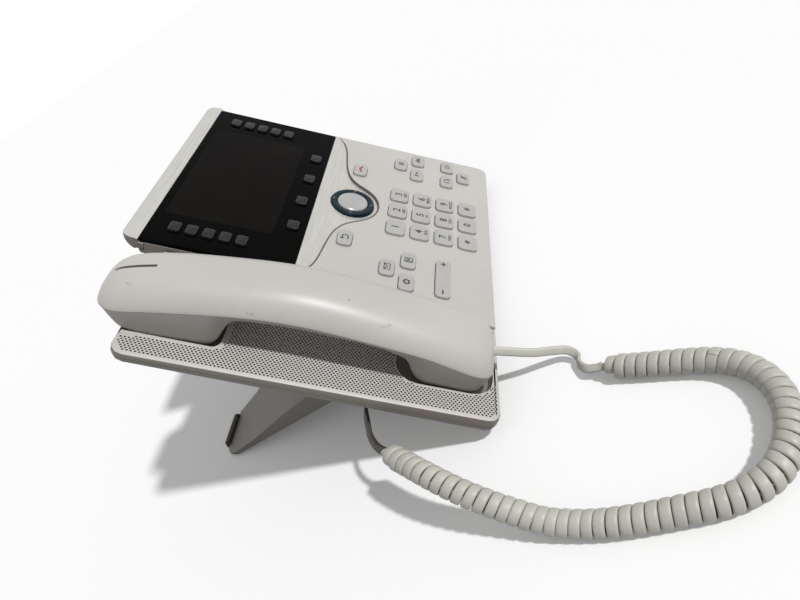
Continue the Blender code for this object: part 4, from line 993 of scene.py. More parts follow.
# ---- handset -----------------------------------------------------------------------------
# Curves of (place up the face, value) in millimetres; the last one holds a share of the width.
WIDTH_CURVE = ((7.8, 14), (9.2, 17.5), (12, 20.2), (17, 21.8), (24, 22.2), (60, 21.6), (105, 21.2),
               (150, 21.6), (185, 22.2), (203, 21.8), (209, 20.0), (213, 17), (215, 14))
CROWN_CURVE = ((7.8, 14.5), (9.2, 18), (12, 21), (20, 25), (36, 29), (65, 33), (98, 36), (120, 36),
               (146, 33), (173, 29), (192, 24.5), (206, 19.5), (212, 15.5), (215, 12))
SEAM_CURVE = ((7.8, 11.5), (12, 12.3), (21, 13.8), (44, 18.8), (60, 20.6), (86, 22.6), (111, 23.8),
              (136, 22.4), (160, 18.6), (185, 13.8), (205, 8.9), (211, 7.6), (215, 7))
UNDER_CURVE = ((7.8, 8), (9.2, 3), (12, -2.5), (16, -5), (30, -5), (44, -5), (47.5, -3.8), (50.5, 1), (54, 9),
               (60, 14.2), (70, 17.6), (90, 19), (120, 19), (138, 17.2), (146, 13.4), (150, 6), (152.6, -2),
               (155, -6), (158, -7), (177, -7), (193, -7), (196, -6.1), (200, -5.3), (203, -4.2), (207, 0.2),
               (211, 4.4), (215, 6.4))
SPREAD_CURVE = ((7.8, 0.93), (10, 0.8), (13, 0.84), (20, 0.86), (38, 0.86), (44, 0.84), (48, 0.76), (54, 0.8),
                (64, 0.9), (138, 0.9), (148, 0.82), (152, 0.78), (155, 0.86), (160, 0.93), (168, 0.945),
                (198, 0.945), (204, 0.93), (215, 0.9))
ARCH_POWER = 2.7                 # how full the back's arch is
ARCH_DRAFT = 1.3                 # over one, the arch ends in a small round at the seam
UNDER_POWER = 9.0                # how square the inner shell's section is
HANDSET_RINGS = 120
ARC_STEPS = 32
SEAM_GAP = 0.3 * MM
SHELL_WALL = 1.8 * MM
OUTER_EDGE = 0.7 * MM            # round of each shell's edge at the seam
INNER_EDGE = 0.35 * MM
LAMP_GAP = 0.2 * MM
EAR_HOLES_V = 181.0 * MM
MOUTH_HOLES_V = 27.0 * MM
HOLES_SPREAD = 4.4 * MM
SOUND_HOLE = 1.0 * MM            # radius
PIN_DEPTH = 12 * MM


def curve_value(table, v):
    """Value at v of a smooth curve through (v, value) pairs in millimetres."""
    v = v / MM
    if v <= table[0][0]:
        return table[0][1] * MM
    for k, ((v0, a), (v1, b)) in enumerate(zip(table, table[1:])):
        if v <= v1:
            before = table[max(k - 1, 0)]
            after = table[min(k + 2, len(table) - 1)]
            slope_a = (b - before[1]) / (v1 - before[0])
            slope_b = (after[1] - a) / (after[0] - v0)
            t = (v - v0) / (v1 - v0)
            width = v1 - v0
            value = ((2 * t ** 3 - 3 * t ** 2 + 1) * a + (t ** 3 - 2 * t ** 2 + t) * width * slope_a
                     + (3 * t ** 2 - 2 * t ** 3) * b + (t ** 3 - t ** 2) * width * slope_b)
            return value * MM
    return table[-1][1] * MM


def handset_ring(v, upper, middle):
    """Half section of the handset at v, from its right seam over or under to the left one."""
    half = curve_value(WIDTH_CURVE, v)
    seam = curve_value(SEAM_CURVE, v)
    far = curve_value(CROWN_CURVE if upper else UNDER_CURVE, v)
    spread = curve_value(SPREAD_CURVE, v) / MM
    seam += SEAM_GAP / 2 if upper else -SEAM_GAP / 2
    points = []
    for k in range(ARC_STEPS + 1):
        angle = math.pi * k / ARC_STEPS
        across = math.cos(angle)
        if upper:
            out = max(0.0, 1 - abs(across) ** ARCH_POWER) ** (1 / ARCH_DRAFT)
        else:
            out = abs(math.sin(angle)) ** (2 / UNDER_POWER)
            across = rounded(across, UNDER_POWER) * (1 - (1 - spread) * out)
        points.append(Vector((middle + half * across, v, seam + (far - seam) * out)))
    return points


def handset_shell(name, upper):
    """One moulded half: skin through all sections, closed ends, then its wall."""
    low, high = face_box("handset_outer_shell")
    middle = (low.x + high.x) / 2
    start = WIDTH_CURVE[0][0] * MM
    end = WIDTH_CURVE[-1][0] * MM
    mesh = bmesh.new()
    rings = []
    for k in range(HANDSET_RINGS + 1):
        v = start + (end - start) * (1 - math.cos(math.pi * k / HANDSET_RINGS)) / 2
        rings.append([mesh.verts.new(FACE @ point) for point in handset_ring(v, upper, middle)])
    outlines = [(lower[k], lower[k + 1], higher[k + 1], higher[k])
                for lower, higher in zip(rings, rings[1:]) for k in range(ARC_STEPS)]
    outlines += [rings[0][::-1], rings[-1]]
    for outline in outlines:
        mesh.faces.new(outline if upper else outline[::-1])
    obj = built(name, mesh)
    outward = FACE.to_3x3() @ Vector((0, 0, 1 if upper else -1))
    middle_face = max(obj.data.polygons, key=lambda face: face.center.dot(outward))
    if middle_face.normal.dot(outward) < 0:
        with editing(obj):
            bpy.ops.mesh.flip_normals()
    thicken(obj, SHELL_WALL)
    soften(obj, OUTER_EDGE if upper else INNER_EDGE, segments=3, angle=60)
    return obj


def carve(obj, cutter):
    """Exact Boolean difference; the cutter is used up."""
    modifier = obj.modifiers.new("carve", "BOOLEAN")
    modifier.operation = "DIFFERENCE"
    modifier.solver = "EXACT"
    modifier.object = cutter
    apply_modifiers(obj)
    bpy.data.objects.remove(cutter)


def swollen(node, margin):
    """Copy of a CAD node with every side moved outwards, as a cutter for its seat."""
    copy = refined(node, node + "_seat", 0)
    mesh = bmesh.new()
    mesh.from_mesh(copy.data)
    mesh.normal_update()
    for vertex in mesh.verts:
        vertex.co += vertex.normal * margin
    mesh.to_mesh(copy.data)
    mesh.free()
    return copy


def sound_hole_cutters():
    """Round pins through the ear and mouth bulges, where the CAD shell has its holes."""
    low, high = face_box("handset_inner_shell")
    middle = (low.x + high.x) / 2
    places = [(middle, EAR_HOLES_V)]
    for k in range(6):
        angle = math.radians(60 * k)
        places.append((middle + HOLES_SPREAD * math.cos(angle), EAR_HOLES_V + HOLES_SPREAD * math.sin(angle)))
    places += [(middle + step * HOLES_SPREAD, MOUTH_HOLES_V) for step in (-1, 0, 1)]
    pins = []
    for u, v in places:
        deselect()
        bpy.ops.mesh.primitive_cylinder_add(vertices=16, radius=SOUND_HOLE, depth=PIN_DEPTH)
        pin = start_piece("sound_pin")
        to_face(pin, u, v, low.z + 1 * MM)
        pins.append(pin)
    return join(pins[0], pins[1:])


class PHONE_OT_handset(bpy.types.Operator):
    """Two moulded halves of the handset and its message lamp"""
    bl_idname = "phone.handset"
    bl_label = "Handset"

    def execute(self, context):
        outer = handset_shell("handset_back", True)
        carve(outer, swollen("message_lamp", LAMP_GAP))
        inner = handset_shell("handset_front", False)
        carve(inner, sound_hole_cutters())
        smooth(outer, 40)
        smooth(inner, 40)
        lamp = refined("message_lamp", "message_lens", 0.15 * MM)
        for piece, material, slot, node in (
                (outer, "handset_plastic", "warm_grey_plastic", "handset_outer_shell"),
                (inner, "handset_under", "warm_grey_plastic", "handset_inner_shell"),
                (lamp, "lamp", "lamp", "message_lamp")):
            set_material(piece, finish(material))
            finish_piece(piece, BODY_OF["handset_outer_shell"], slot, node)
        return {"FINISHED"}


# ---- printed marks -----------------------------------------------------------------------
MARK_SIZE = 1.25                 # of the drawn pictograms, to fill their keys
MARK_BOLDNESS = 1.6


def stroke(points, width, closed=False):
    """Flat printed line through (u, v) points in millimetres."""
    width = width * MARK_BOLDNESS * MM
    points = [(u * MARK_SIZE * MM, v * MARK_SIZE * MM, 0) for u, v in points]
    obj = wire("stroke", points, width / 2, 1, closed)
    obj.scale.z = sizes().print_thickness / width
    settle(obj)
    return obj


def arc(centre, radius, start, end, steps=10):
    """Points of an arc in millimetres between two angles in degrees."""
    angles = [math.radians(start + (end - start) * k / steps) for k in range(steps + 1)]
    return [(centre[0] + radius * math.cos(angle), centre[1] + radius * math.sin(angle)) for angle in angles]


def lettering(text, height, place, weight):
    """Printed figures or letters of a height, centred on a place in millimetres."""
    deselect()
    bpy.ops.object.text_add(location=(0, 0, 0))
    obj = bpy.context.active_object
    obj.data.body = text
    obj.data.extrude = 0.01
    obj.data.offset = weight
    obj.data.resolution_u = 4
    obj.data.align_x = "CENTER"
    bpy.ops.object.convert(target="MESH")
    obj = bpy.context.active_object
    low, high = extent(vertex.co for vertex in obj.data.vertices)
    middle = (low + high) / 2
    factor = height / (high.y - low.y)
    obj.location = (place[0] * MM - middle.x * factor, place[1] * MM - middle.y * factor, 0)
    obj.scale = (factor, factor, sizes().print_thickness / (high.z - low.z))
    settle(obj)
    return obj


def person(u, v, scale):
    """Head and shoulders of a figure."""
    return [(arc((u, v + 0.9 * scale), 0.5 * scale, 0, 330, 9), 0.5 * scale, True),
            (arc((u, v - 1.2 * scale), 1.0 * scale, 165, 15, 6), 0.6 * scale)]


# Strokes of each key's pictogram: points, width and whether the line is closed.
PICTOGRAMS = {
    "back_key": [
        (arc((0.2, -0.1), 1.5, 90, -90) + [(-1.6, -1.6)], 0.55), ([(0.2, 1.4), (-1.9, 1.4)], 0.55),
        ([(-0.9, 2.4), (-2.0, 1.4), (-0.9, 0.4)], 0.55)],
    "release_key": [
        (arc((0, -2.6), 3.0, 140, 40), 1.0), ([(-2.4, -0.1), (-2.6, -1.0)], 1.3),
        ([(2.4, -0.1), (2.6, -1.0)], 1.3)],
    "settings_key": [(arc((0, 0), 1.25, 0, 330, 11), 0.55, True)] + [
        (tooth, 0.6) for tooth in zip(arc((0, 0), 1.4, 0, 315, 7), arc((0, 0), 2.1, 0, 315, 7))],
    "messages_key": [
        ([(-2.3, -1.5), (2.3, -1.5), (2.3, 1.5), (-2.3, 1.5)], 0.5, True),
        ([(-2.2, 1.4), (0, -0.3), (2.2, 1.4)], 0.45)],
    "directory_key": [
        ([(-1.7, -2.0), (1.7, -2.0), (1.7, 2.0), (-1.7, 2.0)], 0.5, True),
        ([(-1.0, -2.0), (-1.0, 2.0)], 0.45), (arc((0.4, 0.6), 0.45, 0, 330, 9), 0.4, True),
        (arc((0.4, -0.9), 0.8, 150, 30, 5), 0.45)],
    "hold_key": [([(-0.8, -1.7), (-0.8, 1.7)], 0.8), ([(0.8, -1.7), (0.8, 1.7)], 0.8)],
    "conference_key": person(0, 0.2, 1.1) + person(-1.9, -0.2, 0.85) + person(1.9, -0.2, 0.85),
    "transfer_key": person(-1.4, 0.0, 0.9) + [
        ([(0.2, 0.3), (2.3, 0.3)], 0.5), ([(1.4, 1.2), (2.4, 0.3), (1.4, -0.6)], 0.5)],
    "headset_key": [
        (arc((0, -0.3), 1.9, 200, -20), 0.45), ([(-1.8, -1.3), (-1.8, -0.2)], 0.9),
        ([(1.8, -1.3), (1.8, -0.2)], 0.9), ([(1.7, -1.5), (0.5, -2.0)], 0.4)],
    "speaker_key": [
        ([(-2.0, -0.7), (-1.2, -0.7), (0.0, -1.7), (0.0, 1.7), (-1.2, 0.7), (-2.0, 0.7)], 0.45, True),
        (arc((0.0, 0), 1.1, 45, -45, 5), 0.4), (arc((0.0, 0), 2.0, 45, -45, 6), 0.4)],
    "mute_key": [
        ([(0, -0.4), (0, 1.4)], 1.3), (arc((0, -0.1), 1.4, 190, 350, 8), 0.4),
        ([(0, -1.5), (0, -2.2)], 0.4), ([(-2.0, -2.0), (2.0, 2.0)], 0.45)],
}
DIAL_LETTERS = {"2": "ABC", "3": "DEF", "4": "GHI", "5": "JKL", "6": "MNO", "7": "PQRS", "8": "TUV",
                "9": "WXYZ"}
DIAL_SIGNS = {"star": ("*", 0.8), "hash": ("#", 0.85)}   # sign and its share of the figures' height


# ---- keys --------------------------------------------------------------------------------
FIGURE_WEIGHT = 0.022            # outline offset that makes the printed figures bold
LETTER_WEIGHT = 0.03
PRINT_LIFT = 0.3                 # share of a mark's thickness from the cap's top to its middle
SKIRT = 0.9 * MM                 # of each CAD key, hidden behind its panel
PRINTED_KEY = (2.7 * MM, 0.55 * MM, 0.35 * MM)   # corner, edge and crown of the printed keys
SMOKE_KEY = (1.5 * MM, 0.45 * MM, 0.3 * MM)      # and of the keys at the display
ROCKER_SIGNS = 5.0               # from the rocker's ends to its plus and minus, in millimetres


def model_key(node, finish_name, corner, edge, crown):
    """Pillow-topped key of a CAD key's size, drawn flat about the middle of its foot."""
    low, high = face_box(node)
    depth = high.z - low.z - crown
    size = (high.x - low.x - 2 * SKIRT, high.y - low.y - 2 * SKIRT, depth)
    key = block("key_master", size, (0, 0, depth / 2))
    with editing(key):
        pick(key, upright, "EDGE")
        bpy.ops.mesh.bevel(offset=corner, segments=6, affect="EDGES")
        pick(key, lambda face: face.normal.z > 0.9)
        shoulder = edge * 0.35
        for inset, rise in ((0.6, shoulder), (0.9, crown * 0.7 - shoulder), (2.2, crown * 0.3)):
            bpy.ops.mesh.inset(thickness=edge * inset, depth=0)
            bpy.ops.transform.translate(value=(0, 0, rise))
        pick(key, lambda ridge: outline_edge(ridge, depth), "EDGE")
        bpy.ops.mesh.bevel(offset=edge * 0.4, segments=3, affect="EDGES")
    smooth(key, 50)
    set_material(key, finish(finish_name))
    return key


def outline_edge(edge, depth):
    """Whether an edge runs round the key where its side meets its top."""
    return all(abs(vertex.co.z - depth) < 1e-6 for vertex in edge.verts) and any(
        abs(face.normal.z) < 0.1 for face in edge.link_faces)


def place_keys(master, nodes, slot, draw_marks=None):
    """Copies of a modelled key in its CAD nodes' places, with their printed marks; uses the key up."""
    for node in nodes:
        ink = "print_red" if node == "release_key" else "print_dark"
        key = duplicate(master, node + "_cap")
        low, high = face_box(node)
        centre = (low + high) / 2
        marks = draw_marks(node) if draw_marks else []
        for mark in marks:
            mark.location.z = high.z - low.z + sizes().print_thickness * PRINT_LIFT
            settle(mark)
            set_material(mark, finish(ink))
        if marks:
            key.data.materials.append(finish(ink))
            join(key, marks)
        to_face(key, centre.x, centre.y, low.z)
        finish_piece(key, BODY_OF[node], slot, node)
    bpy.data.objects.remove(master)


def dial_marks(node):
    """Figure or sign of a dial key, with the letters under it."""
    label = node.removeprefix("dial_key_")
    sign, share = DIAL_SIGNS.get(label, (label, 1))
    letters = DIAL_LETTERS.get(label)
    marks = [lettering(sign, sizes().digit_height * share, (0, 0.9 if letters else 0.4), FIGURE_WEIGHT)]
    if letters:
        marks.append(lettering(letters, sizes().letter_height, (0, -4.2), LETTER_WEIGHT))
    return marks


def pictogram(node):
    return [stroke(*line) for line in PICTOGRAMS[node]]


def rocker_marks(node):
    """Plus and minus at the ends of the rocker."""
    low, high = face_box(node)
    reach = ((high.x - low.x) / 2 / MM - ROCKER_SIGNS) / MARK_SIZE
    return [stroke([(reach - 1.5, 0), (reach + 1.5, 0)], 0.6), stroke([(reach, -1.5), (reach, 1.5)], 0.6),
            stroke([(-reach - 1.5, 0), (-reach + 1.5, 0)], 0.6)]


class PHONE_OT_dial_keys(bpy.types.Operator):
    """Twelve dial keys with their figures and letters"""
    bl_idname = "phone.dial_keys"
    bl_label = "Dial Keys"

    def execute(self, context):
        nodes = [name for name in NODES if name.startswith("dial_key_")]
        place_keys(model_key("dial_key_5", "key_plastic", *PRINTED_KEY), nodes, "key_plastic", dial_marks)
        return {"FINISHED"}


class PHONE_OT_function_keys(bpy.types.Operator):
    """Keys with pictograms round the dial keys, and the volume rocker"""
    bl_idname = "phone.function_keys"
    bl_label = "Function Keys and Rocker"

    def execute(self, context):
        place_keys(model_key("hold_key", "key_plastic", *PRINTED_KEY), PICTOGRAMS, "key_plastic", pictogram)
        rocker = model_key("volume_rocker", "key_plastic", *PRINTED_KEY)
        place_keys(rocker, ["volume_rocker"], "key_plastic", rocker_marks)
        return {"FINISHED"}


class PHONE_OT_smoke_keys(bpy.types.Operator):
    """Small translucent-looking keys beside and below the display"""
    bl_idname = "phone.smoke_keys"
    bl_label = "Line and Soft Keys"

    def execute(self, context):
        for prefix, pattern in (("line_key", "line_key_left_1"), ("soft_key", "soft_key_1")):
            nodes = [name for name in NODES if name.startswith(prefix)]
            place_keys(model_key(pattern, "smoke_key", *SMOKE_KEY), nodes, "smoke_key")
        return {"FINISHED"}


# ---- navigation --------------------------------------------------------------------------
SPIN_STEPS = 72
DOME_STEPS = 9
DOME_START = 8                   # degrees up the dome's arc at which it begins
RING_FLANGE = 1.1                # of the CAD ring, hidden under the bezel, in millimetres
BUTTON_GAP = 0.55                # between the button and the ring, in millimetres
PIP_RADIUS = 0.42 * MM
PIP_HEIGHT = 0.86 * MM


def turned_piece(name, profile, centre):
    """Closed solid of revolution from (radius, z) points in millimetres, spun about its axis."""
    mesh = bmesh.new()
    line = [mesh.verts.new((radius * MM, 0, z * MM)) for radius, z in profile]
    for first, second in zip(line, line[1:]):
        mesh.edges.new((first, second))
    if profile[0][0] > 0 and profile[-1][0] > 0:
        mesh.edges.new((line[-1], line[0]))
    obj = built(name, mesh)
    with editing(obj):
        bpy.ops.mesh.spin(steps=SPIN_STEPS, angle=2 * math.pi, center=(0, 0, 0), axis=(0, 0, 1))
        bpy.ops.mesh.select_all(action="SELECT")
        bpy.ops.mesh.remove_doubles(threshold=0.001 * MM)
        bpy.ops.mesh.normals_make_consistent(inside=False)
    smooth(obj, 40)
    to_face(obj, centre.x, centre.y, 0)
    return obj


def dome_profile(radius, edge, crown):
    """Points over a shallow dome, from its edge to its top on the axis."""
    points = []
    for k in range(DOME_STEPS):
        angle = math.radians(DOME_START + (90 - DOME_START) * k / DOME_STEPS)
        points.append((radius * math.cos(angle), edge + (crown - edge) * math.sin(angle)))
    return points + [(0.0, crown)]


class PHONE_OT_navigation(bpy.types.Operator):
    """Tilting ring with four pips and the domed select button"""
    bl_idname = "phone.navigation"
    bl_label = "Navigation Cluster"

    def execute(self, context):
        low, high = face_box("nav_ring")
        centre = (low + high) / 2
        outer = (high.x - low.x) / 2 / MM - RING_FLANGE
        low_button, high_button = face_box("select_button")
        button = (high_button.x - low_button.x) / 2 / MM
        bore = button + BUTTON_GAP
        ring = turned_piece("navigation_ring", [
            (bore, -5.6), (outer + 1.0, -5.6), (outer + 1.0, -5.2), (outer, -5.1), (outer, 0.2),
            (outer - 0.1, 0.5), (outer - 0.4, 0.72), (outer - 1.0, 0.84), (outer - 2.4, 0.9),
            (bore + 0.8, 0.72), (bore + 0.25, 0.5), (bore, 0.2),
        ], centre)
        set_material(ring, finish("dark_teal"), finish("print_pale"))
        pips = []
        for u, v in arc((0, 0), (outer + bore) / 2 + 0.1, 0, 270, 3):
            deselect()
            bpy.ops.mesh.primitive_uv_sphere_add(segments=16, ring_count=8, radius=PIP_RADIUS)
            pip = start_piece("pip")
            pip.scale.z = 0.35
            settle(pip)
            smooth(pip, 60)
            set_material(pip, finish("print_pale"))
            to_face(pip, centre.x + u * MM, centre.y + v * MM, PIP_HEIGHT)
            pips.append(pip)
        join(ring, pips)
        finish_piece(ring, BODY_OF["nav_ring"], "dark_teal", "nav_ring")

        profile = [(0.0, -5.5), (button, -5.5), (button, 0.3), (button - 0.05, 0.5)]
        profile += dome_profile(button - 0.1, 0.55, high_button.z / MM - 0.1)
        cap = turned_piece("select_cap", profile, centre)
        set_material(cap, finish("steel"))
        finish_piece(cap, BODY_OF["select_button"], "steel", "select_button")
        return {"FINISHED"}


# ---- stage -------------------------------------------------------------------------------
CAMERA_PLACE = Vector((-322.4, -201.1, 255.2)) * MM
CAMERA_RIGHT = Vector((0.0719, -0.8639, -0.4985))
CAMERA_UP = Vector((0.6684, -0.3293, 0.6670))
CAMERA_LENS = 27.3
SUN_LEAN = math.radians(-9)      # from the face's normal, towards its right side
SUN_SPREAD = math.radians(3.5)
SUN_STRENGTH = 2.3
SKY_STRENGTH = 0.34
FLOOR_BOUNCE = 0.4
FLOOR_GLOW = 0.1
FLOOR_SIZE = 8
SEEING_RAYS = ("Is Camera Ray", "Is Glossy Ray", "Is Transmission Ray")


def emptied(tree, output):
    """Clears a node tree and gives the surface socket of its new output node."""
    tree.nodes.clear()
    return tree.nodes.new(output).inputs["Surface"]


def shader(tree, kind, grey, result, **values):
    """Output of a new shader node of one grey, with its other inputs set."""
    node = tree.nodes.new("ShaderNode" + kind)
    node.inputs["Color"].default_value = (grey, grey, grey, 1)
    for label, value in values.items():
        node.inputs[label].default_value = value
    return node.outputs[result]


def show_by_ray(tree, surface, plain, seen):
    """Feeds a surface with the plain shader, or with the seen one for rays that end at an eye."""
    path = tree.nodes.new("ShaderNodeLightPath")
    factor = path.outputs[SEEING_RAYS[0]]
    for ray in SEEING_RAYS[1:]:
        factor = add_math(tree, "MAXIMUM", factor, path.outputs[ray])
    mix = tree.nodes.new("ShaderNodeMixShader")
    tree.links.new(factor, mix.inputs["Fac"])
    tree.links.new(plain, mix.inputs[1])
    tree.links.new(seen, mix.inputs[2])
    tree.links.new(mix.outputs["Shader"], surface)


def floor_finish():
    """White to the eye and to reflections, duller for the light that it throws back up."""
    material = bpy.data.materials.new("studio_floor")
    material.use_nodes = True
    tree = material.node_tree
    surface = emptied(tree, "ShaderNodeOutputMaterial")
    dull = shader(tree, "BsdfDiffuse", FLOOR_BOUNCE, "BSDF")
    white = shader(tree, "BsdfDiffuse", 1.0, "BSDF")
    glow = shader(tree, "Emission", 1.0, "Emission", Strength=FLOOR_GLOW)
    bright = tree.nodes.new("ShaderNodeAddShader")
    tree.links.new(white, bright.inputs[0])
    tree.links.new(glow, bright.inputs[1])
    show_by_ray(tree, surface, dull, bright.outputs["Shader"])
    return material


class PHONE_OT_stage(bpy.types.Operator):
    """Camera, sun, even sky and a pale floor"""
    bl_idname = "phone.stage"
    bl_label = "Studio Stage"

    def execute(self, context):
        scene = context.scene
        scene.view_settings.view_transform = "Standard"

        lens = bpy.data.cameras.new("camera")
        lens.lens = CAMERA_LENS
        lens.clip_start = 10 * MM
        camera = linked("camera", lens)
        towards = CAMERA_RIGHT.cross(CAMERA_UP)
        turn = Matrix((CAMERA_RIGHT, CAMERA_UP, towards)).transposed().to_quaternion().to_matrix().to_4x4()
        camera.matrix_world = Matrix.Translation(CAMERA_PLACE) @ turn
        scene.camera = camera

        lamp = bpy.data.lights.new("sun", "SUN")
        lamp.energy = SUN_STRENGTH
        lamp.angle = SUN_SPREAD
        sun = linked("sun", lamp)
        from_sun = FACE.to_3x3() @ Vector((math.sin(SUN_LEAN), 0, math.cos(SUN_LEAN)))
        sun.rotation_mode = "QUATERNION"
        sun.rotation_quaternion = from_sun.to_track_quat("Z", "Y")

        scene.world = bpy.data.worlds.new("even_sky")
        scene.world.use_nodes = True
        tree = scene.world.node_tree
        surface = emptied(tree, "ShaderNodeOutputWorld")
        soft, white = (shader(tree, "Background", 1, "Background", Strength=strength)
                       for strength in (SKY_STRENGTH, 1.0))
        show_by_ray(tree, surface, soft, white)

        bpy.ops.mesh.primitive_plane_add(size=FLOOR_SIZE, location=(0, 0, 0))
        floor = start_piece("studio_floor")
        set_material(floor, floor_finish())
        return {"FINISHED"}


# ---- covers, stand and inner pieces -------------------------------------------------------
# Finish of each CAD node that keeps its own shape.
PLAIN_FINISHES = {
    "circuit_board": "board_green", "key_mat": "rubber", "loudspeaker": "rubber",
    "hook_switch": "key_plastic", "lcd_module": "lcd", "front_foot": "rubber",
}
# Finish, slot and round of the edges in millimetres of each CAD node that is refined.
REFINED = {
    "front_cover": ("warm_grey_plastic", "warm_grey_plastic", 0.25),
    "display_bezel": ("silver_trim", "silver_trim", 0.15),
    "display_glass": ("black_glass", "black_glass", 0.12),
    # rear housing and stand take the darker housing colour: painted shade
    "rear_housing": ("taupe_plastic", "taupe_plastic", 0.3),
    "foot_stand": ("taupe_plastic", "taupe_plastic", 0.4),
    "stand_pad_left": ("pad_rubber", "rubber", 0.3),
    "stand_pad_right": ("pad_rubber", "rubber", 0.3),
}
FLANK_REACH = 20 * MM            # the display's flanks begin this far below its glass
GROOVE_WIDTH = 1.25 * MM
GROOVE_PLACE = Vector((0, 0.1, -0.25)) * MM      # from the panel's lip
LIP_INSET = 1 * MM               # of the groove's ends from the silver frame's sides
PAD_WRAP = 4.6 * MM
PAD_RISE = 1.2 * MM
WINDOW_INSET = (8 * MM, 5 * MM)  # how much smaller the lit area is than its module
WINDOW_RISE = 0.02 * MM
FILLER_WIDTH = 5.0 * MM
FILLER_LENGTH = 5.6 * MM
FILLER_TOP = -1.7 * MM           # just under the glass
FILLER_GAP = 0.1 * MM            # to the frame's side
FILLER_DROP = 1.1 * MM           # of its middle below the cover's upper end


def shade_flanks(piece):
    """Gives the walls round the display the flanks' darker colour: painted shade."""
    piece.data.materials.append(finish("shade_plastic"))
    low, high = face_box("display_glass")
    for face in piece.data.polygons:
        centre = TO_FACE @ face.center
        outside = centre.x < low.x or centre.y > high.y or centre.x > high.x
        if (TO_FACE.to_3x3() @ face.normal).z < SIDE_SLOPE and centre.y > low.y - FLANK_REACH and outside:
            face.material_index = 1


def panel_lip():
    """Points along the key panel's edge at the silver frame, from left to right."""
    mesh = bmesh.new()
    mesh.from_mesh(NODES["front_cover"].data)
    bmesh.ops.remove_doubles(mesh, verts=mesh.verts, dist=WELD)
    mesh.transform(TO_FACE)
    mesh.normal_update()
    cover_top = face_box("front_cover")[1].z - 0.05 * MM
    flat = {face for face in mesh.faces if face.normal.z > 0.999 and face.calc_center_median().z > cover_top}
    border = [edge for edge in mesh.edges if sum(face in flat for face in edge.link_faces) == 1]
    frame_low, frame_high = face_box("display_bezel")
    glass_low = face_box("display_glass")[0]
    key_holes = [face_box(node) for node in ("back_key", "release_key")]
    points = []
    for vertex in dict.fromkeys(vertex for edge in border for vertex in edge.verts):
        u, v, _ = vertex.co
        in_hole = any(low.x < u < high.x and low.y < v < high.y for low, high in key_holes)
        inside = frame_low.x + LIP_INSET < u < frame_high.x - LIP_INSET
        if inside and frame_low.y - LIP_INSET < v < glass_low.y and not in_hole:
            points.append(vertex.co.copy())
    mesh.free()
    return sorted(points, key=lambda point: point.x)


def lip_groove():
    """Dark strip along the joint between the key panel and the silver frame: the joint is real, its darkness is
    painted shade.
    """
    obj = wire("lip_groove", [FACE @ (point + GROOVE_PLACE) for point in panel_lip()], GROOVE_WIDTH / 2, 2)
    smooth(obj, 60)
    return obj


def pad_wrap(node):
    """Raised end of a stand pad, moulded round the rear edge of its foot."""
    low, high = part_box(node)
    size = Vector((high[0] - low[0], PAD_WRAP, high[2] - low[2] + PAD_RISE))
    middle = Vector(((high[0] + low[0]) / 2, high[1] - PAD_WRAP / 2, low[2] + 0.2 * MM + size.z / 2))
    wrap = block(node + "_wrap", size, middle)
    soften(wrap, 1.4 * MM, segments=4)
    smooth(wrap, 50)
    return wrap


def corner_filler():
    """Side wall under the display's upper left corner, between the silver frame and the cover."""
    low, high = face_box("display_bezel")
    cover_top = face_box("front_cover")[1].y
    depth = FILLER_TOP - low.z
    filler = block("corner_filler", (FILLER_WIDTH, FILLER_LENGTH, depth))
    soften(filler, 0.6 * MM, segments=3)
    smooth(filler, 50)
    to_face(filler, low.x + FILLER_WIDTH / 2 + FILLER_GAP, cover_top - FILLER_DROP, FILLER_TOP - depth / 2)
    return filler


def display_window():
    """Switched-off display area, just to be told from the black window round it."""
    low, high = face_box("lcd_module")
    glass_top = face_box("display_glass")[1].z
    size = (high.x - low.x - WINDOW_INSET[0], high.y - low.y - WINDOW_INSET[1], WINDOW_RISE)
    area = block("display_window", size)
    with editing(area):
        pick(area, upright, "EDGE")
        bpy.ops.mesh.bevel(offset=1.2 * MM, segments=4, affect="EDGES")
    to_face(area, (low.x + high.x) / 2, (low.y + high.y) / 2, glass_top + WINDOW_RISE * 0.1)
    return area


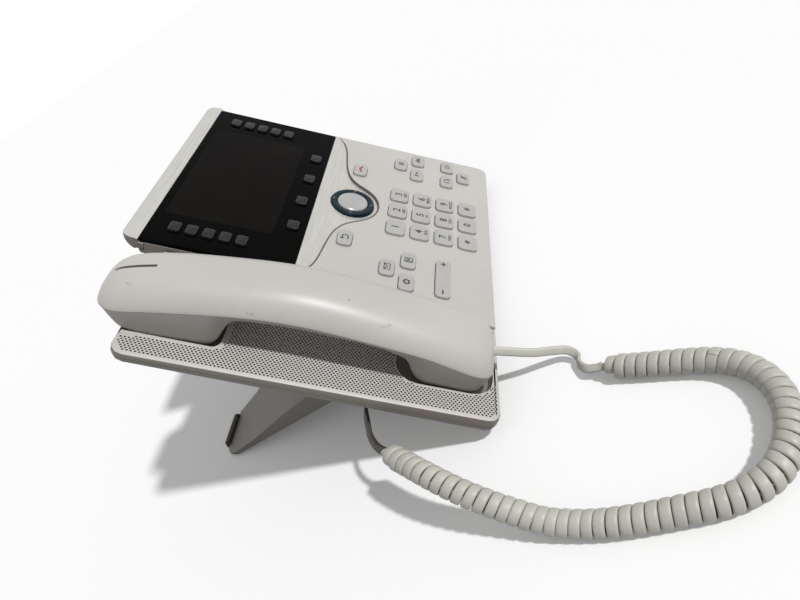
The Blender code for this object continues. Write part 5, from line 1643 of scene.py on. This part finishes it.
class PHONE_OT_covers(bpy.types.Operator):
    """Covers, housing and stand with softened edges"""
    bl_idname = "phone.covers"
    bl_label = "Covers and Stand"

    def execute(self, context):
        for node, (material, slot, edge) in REFINED.items():
            piece = refined(node, node + "_shell", edge * MM)
            set_material(piece, finish(material))
            if node in ("front_cover", "display_bezel"):
                shade_flanks(piece)
            finish_piece(piece, BODY_OF[node], slot, node)
        extras = [(lip_groove(), "groove_dark", "warm_grey_plastic"),
                  # the filler under the display's corner takes the flanks' painted shade
                  (corner_filler(), "shade_plastic", "warm_grey_plastic"),
                  (display_window(), "dark_display", "black_glass")]
        extras += [(pad_wrap(node), "pad_rubber", "rubber") for node in ("stand_pad_left", "stand_pad_right")]
        for piece, material, slot in extras:
            set_material(piece, finish(material))
            finish_piece(piece, "base", slot)
        return {"FINISHED"}


class PHONE_OT_inner(bpy.types.Operator):
    """Finishes of the board, mat, speaker, display module and hook plunger"""
    bl_idname = "phone.inner"
    bl_label = "Inner Pieces"

    def execute(self, context):
        for node, material in PLAIN_FINISHES.items():
            set_material(NODES[node], finish(material))
        return {"FINISHED"}


OPERATORS = (
    PHONE_OT_stage, PHONE_OT_cords, PHONE_OT_deck, PHONE_OT_handset, PHONE_OT_dial_keys,
    PHONE_OT_function_keys, PHONE_OT_smoke_keys, PHONE_OT_navigation, PHONE_OT_covers, PHONE_OT_inner,
)


class PHONE_PT_panel(bpy.types.Panel):
    """Sidebar list of the operators, in the order in which they run"""
    bl_idname = "PHONE_PT_panel"
    bl_label = "Telephone"
    bl_space_type = "VIEW_3D"
    bl_region_type = "UI"
    bl_category = "Telephone"

    def draw(self, context):
        for operator in OPERATORS:
            self.layout.operator(operator.bl_idname)


CLASSES = (PhoneSizes, PhoneColours, *OPERATORS, PHONE_PT_panel)


def register():
    for item in CLASSES:
        bpy.utils.register_class(item)
    bpy.types.Scene.phone_sizes = PointerProperty(type=PhoneSizes)
    bpy.types.Scene.phone_colours = PointerProperty(type=PhoneColours)


def unregister():
    del bpy.types.Scene.phone_sizes
    del bpy.types.Scene.phone_colours
    for item in reversed(CLASSES):
        bpy.utils.unregister_class(item)


def main():
    register()
    bpy.ops.phone.stage()
    bpy.ops.phone.cords()
    bpy.ops.phone.deck()
    bpy.ops.phone.handset()
    bpy.ops.phone.dial_keys()
    bpy.ops.phone.function_keys()
    bpy.ops.phone.smoke_keys()
    bpy.ops.phone.navigation()
    bpy.ops.phone.covers()
    bpy.ops.phone.inner()


if __name__ == "__main__":
    main()
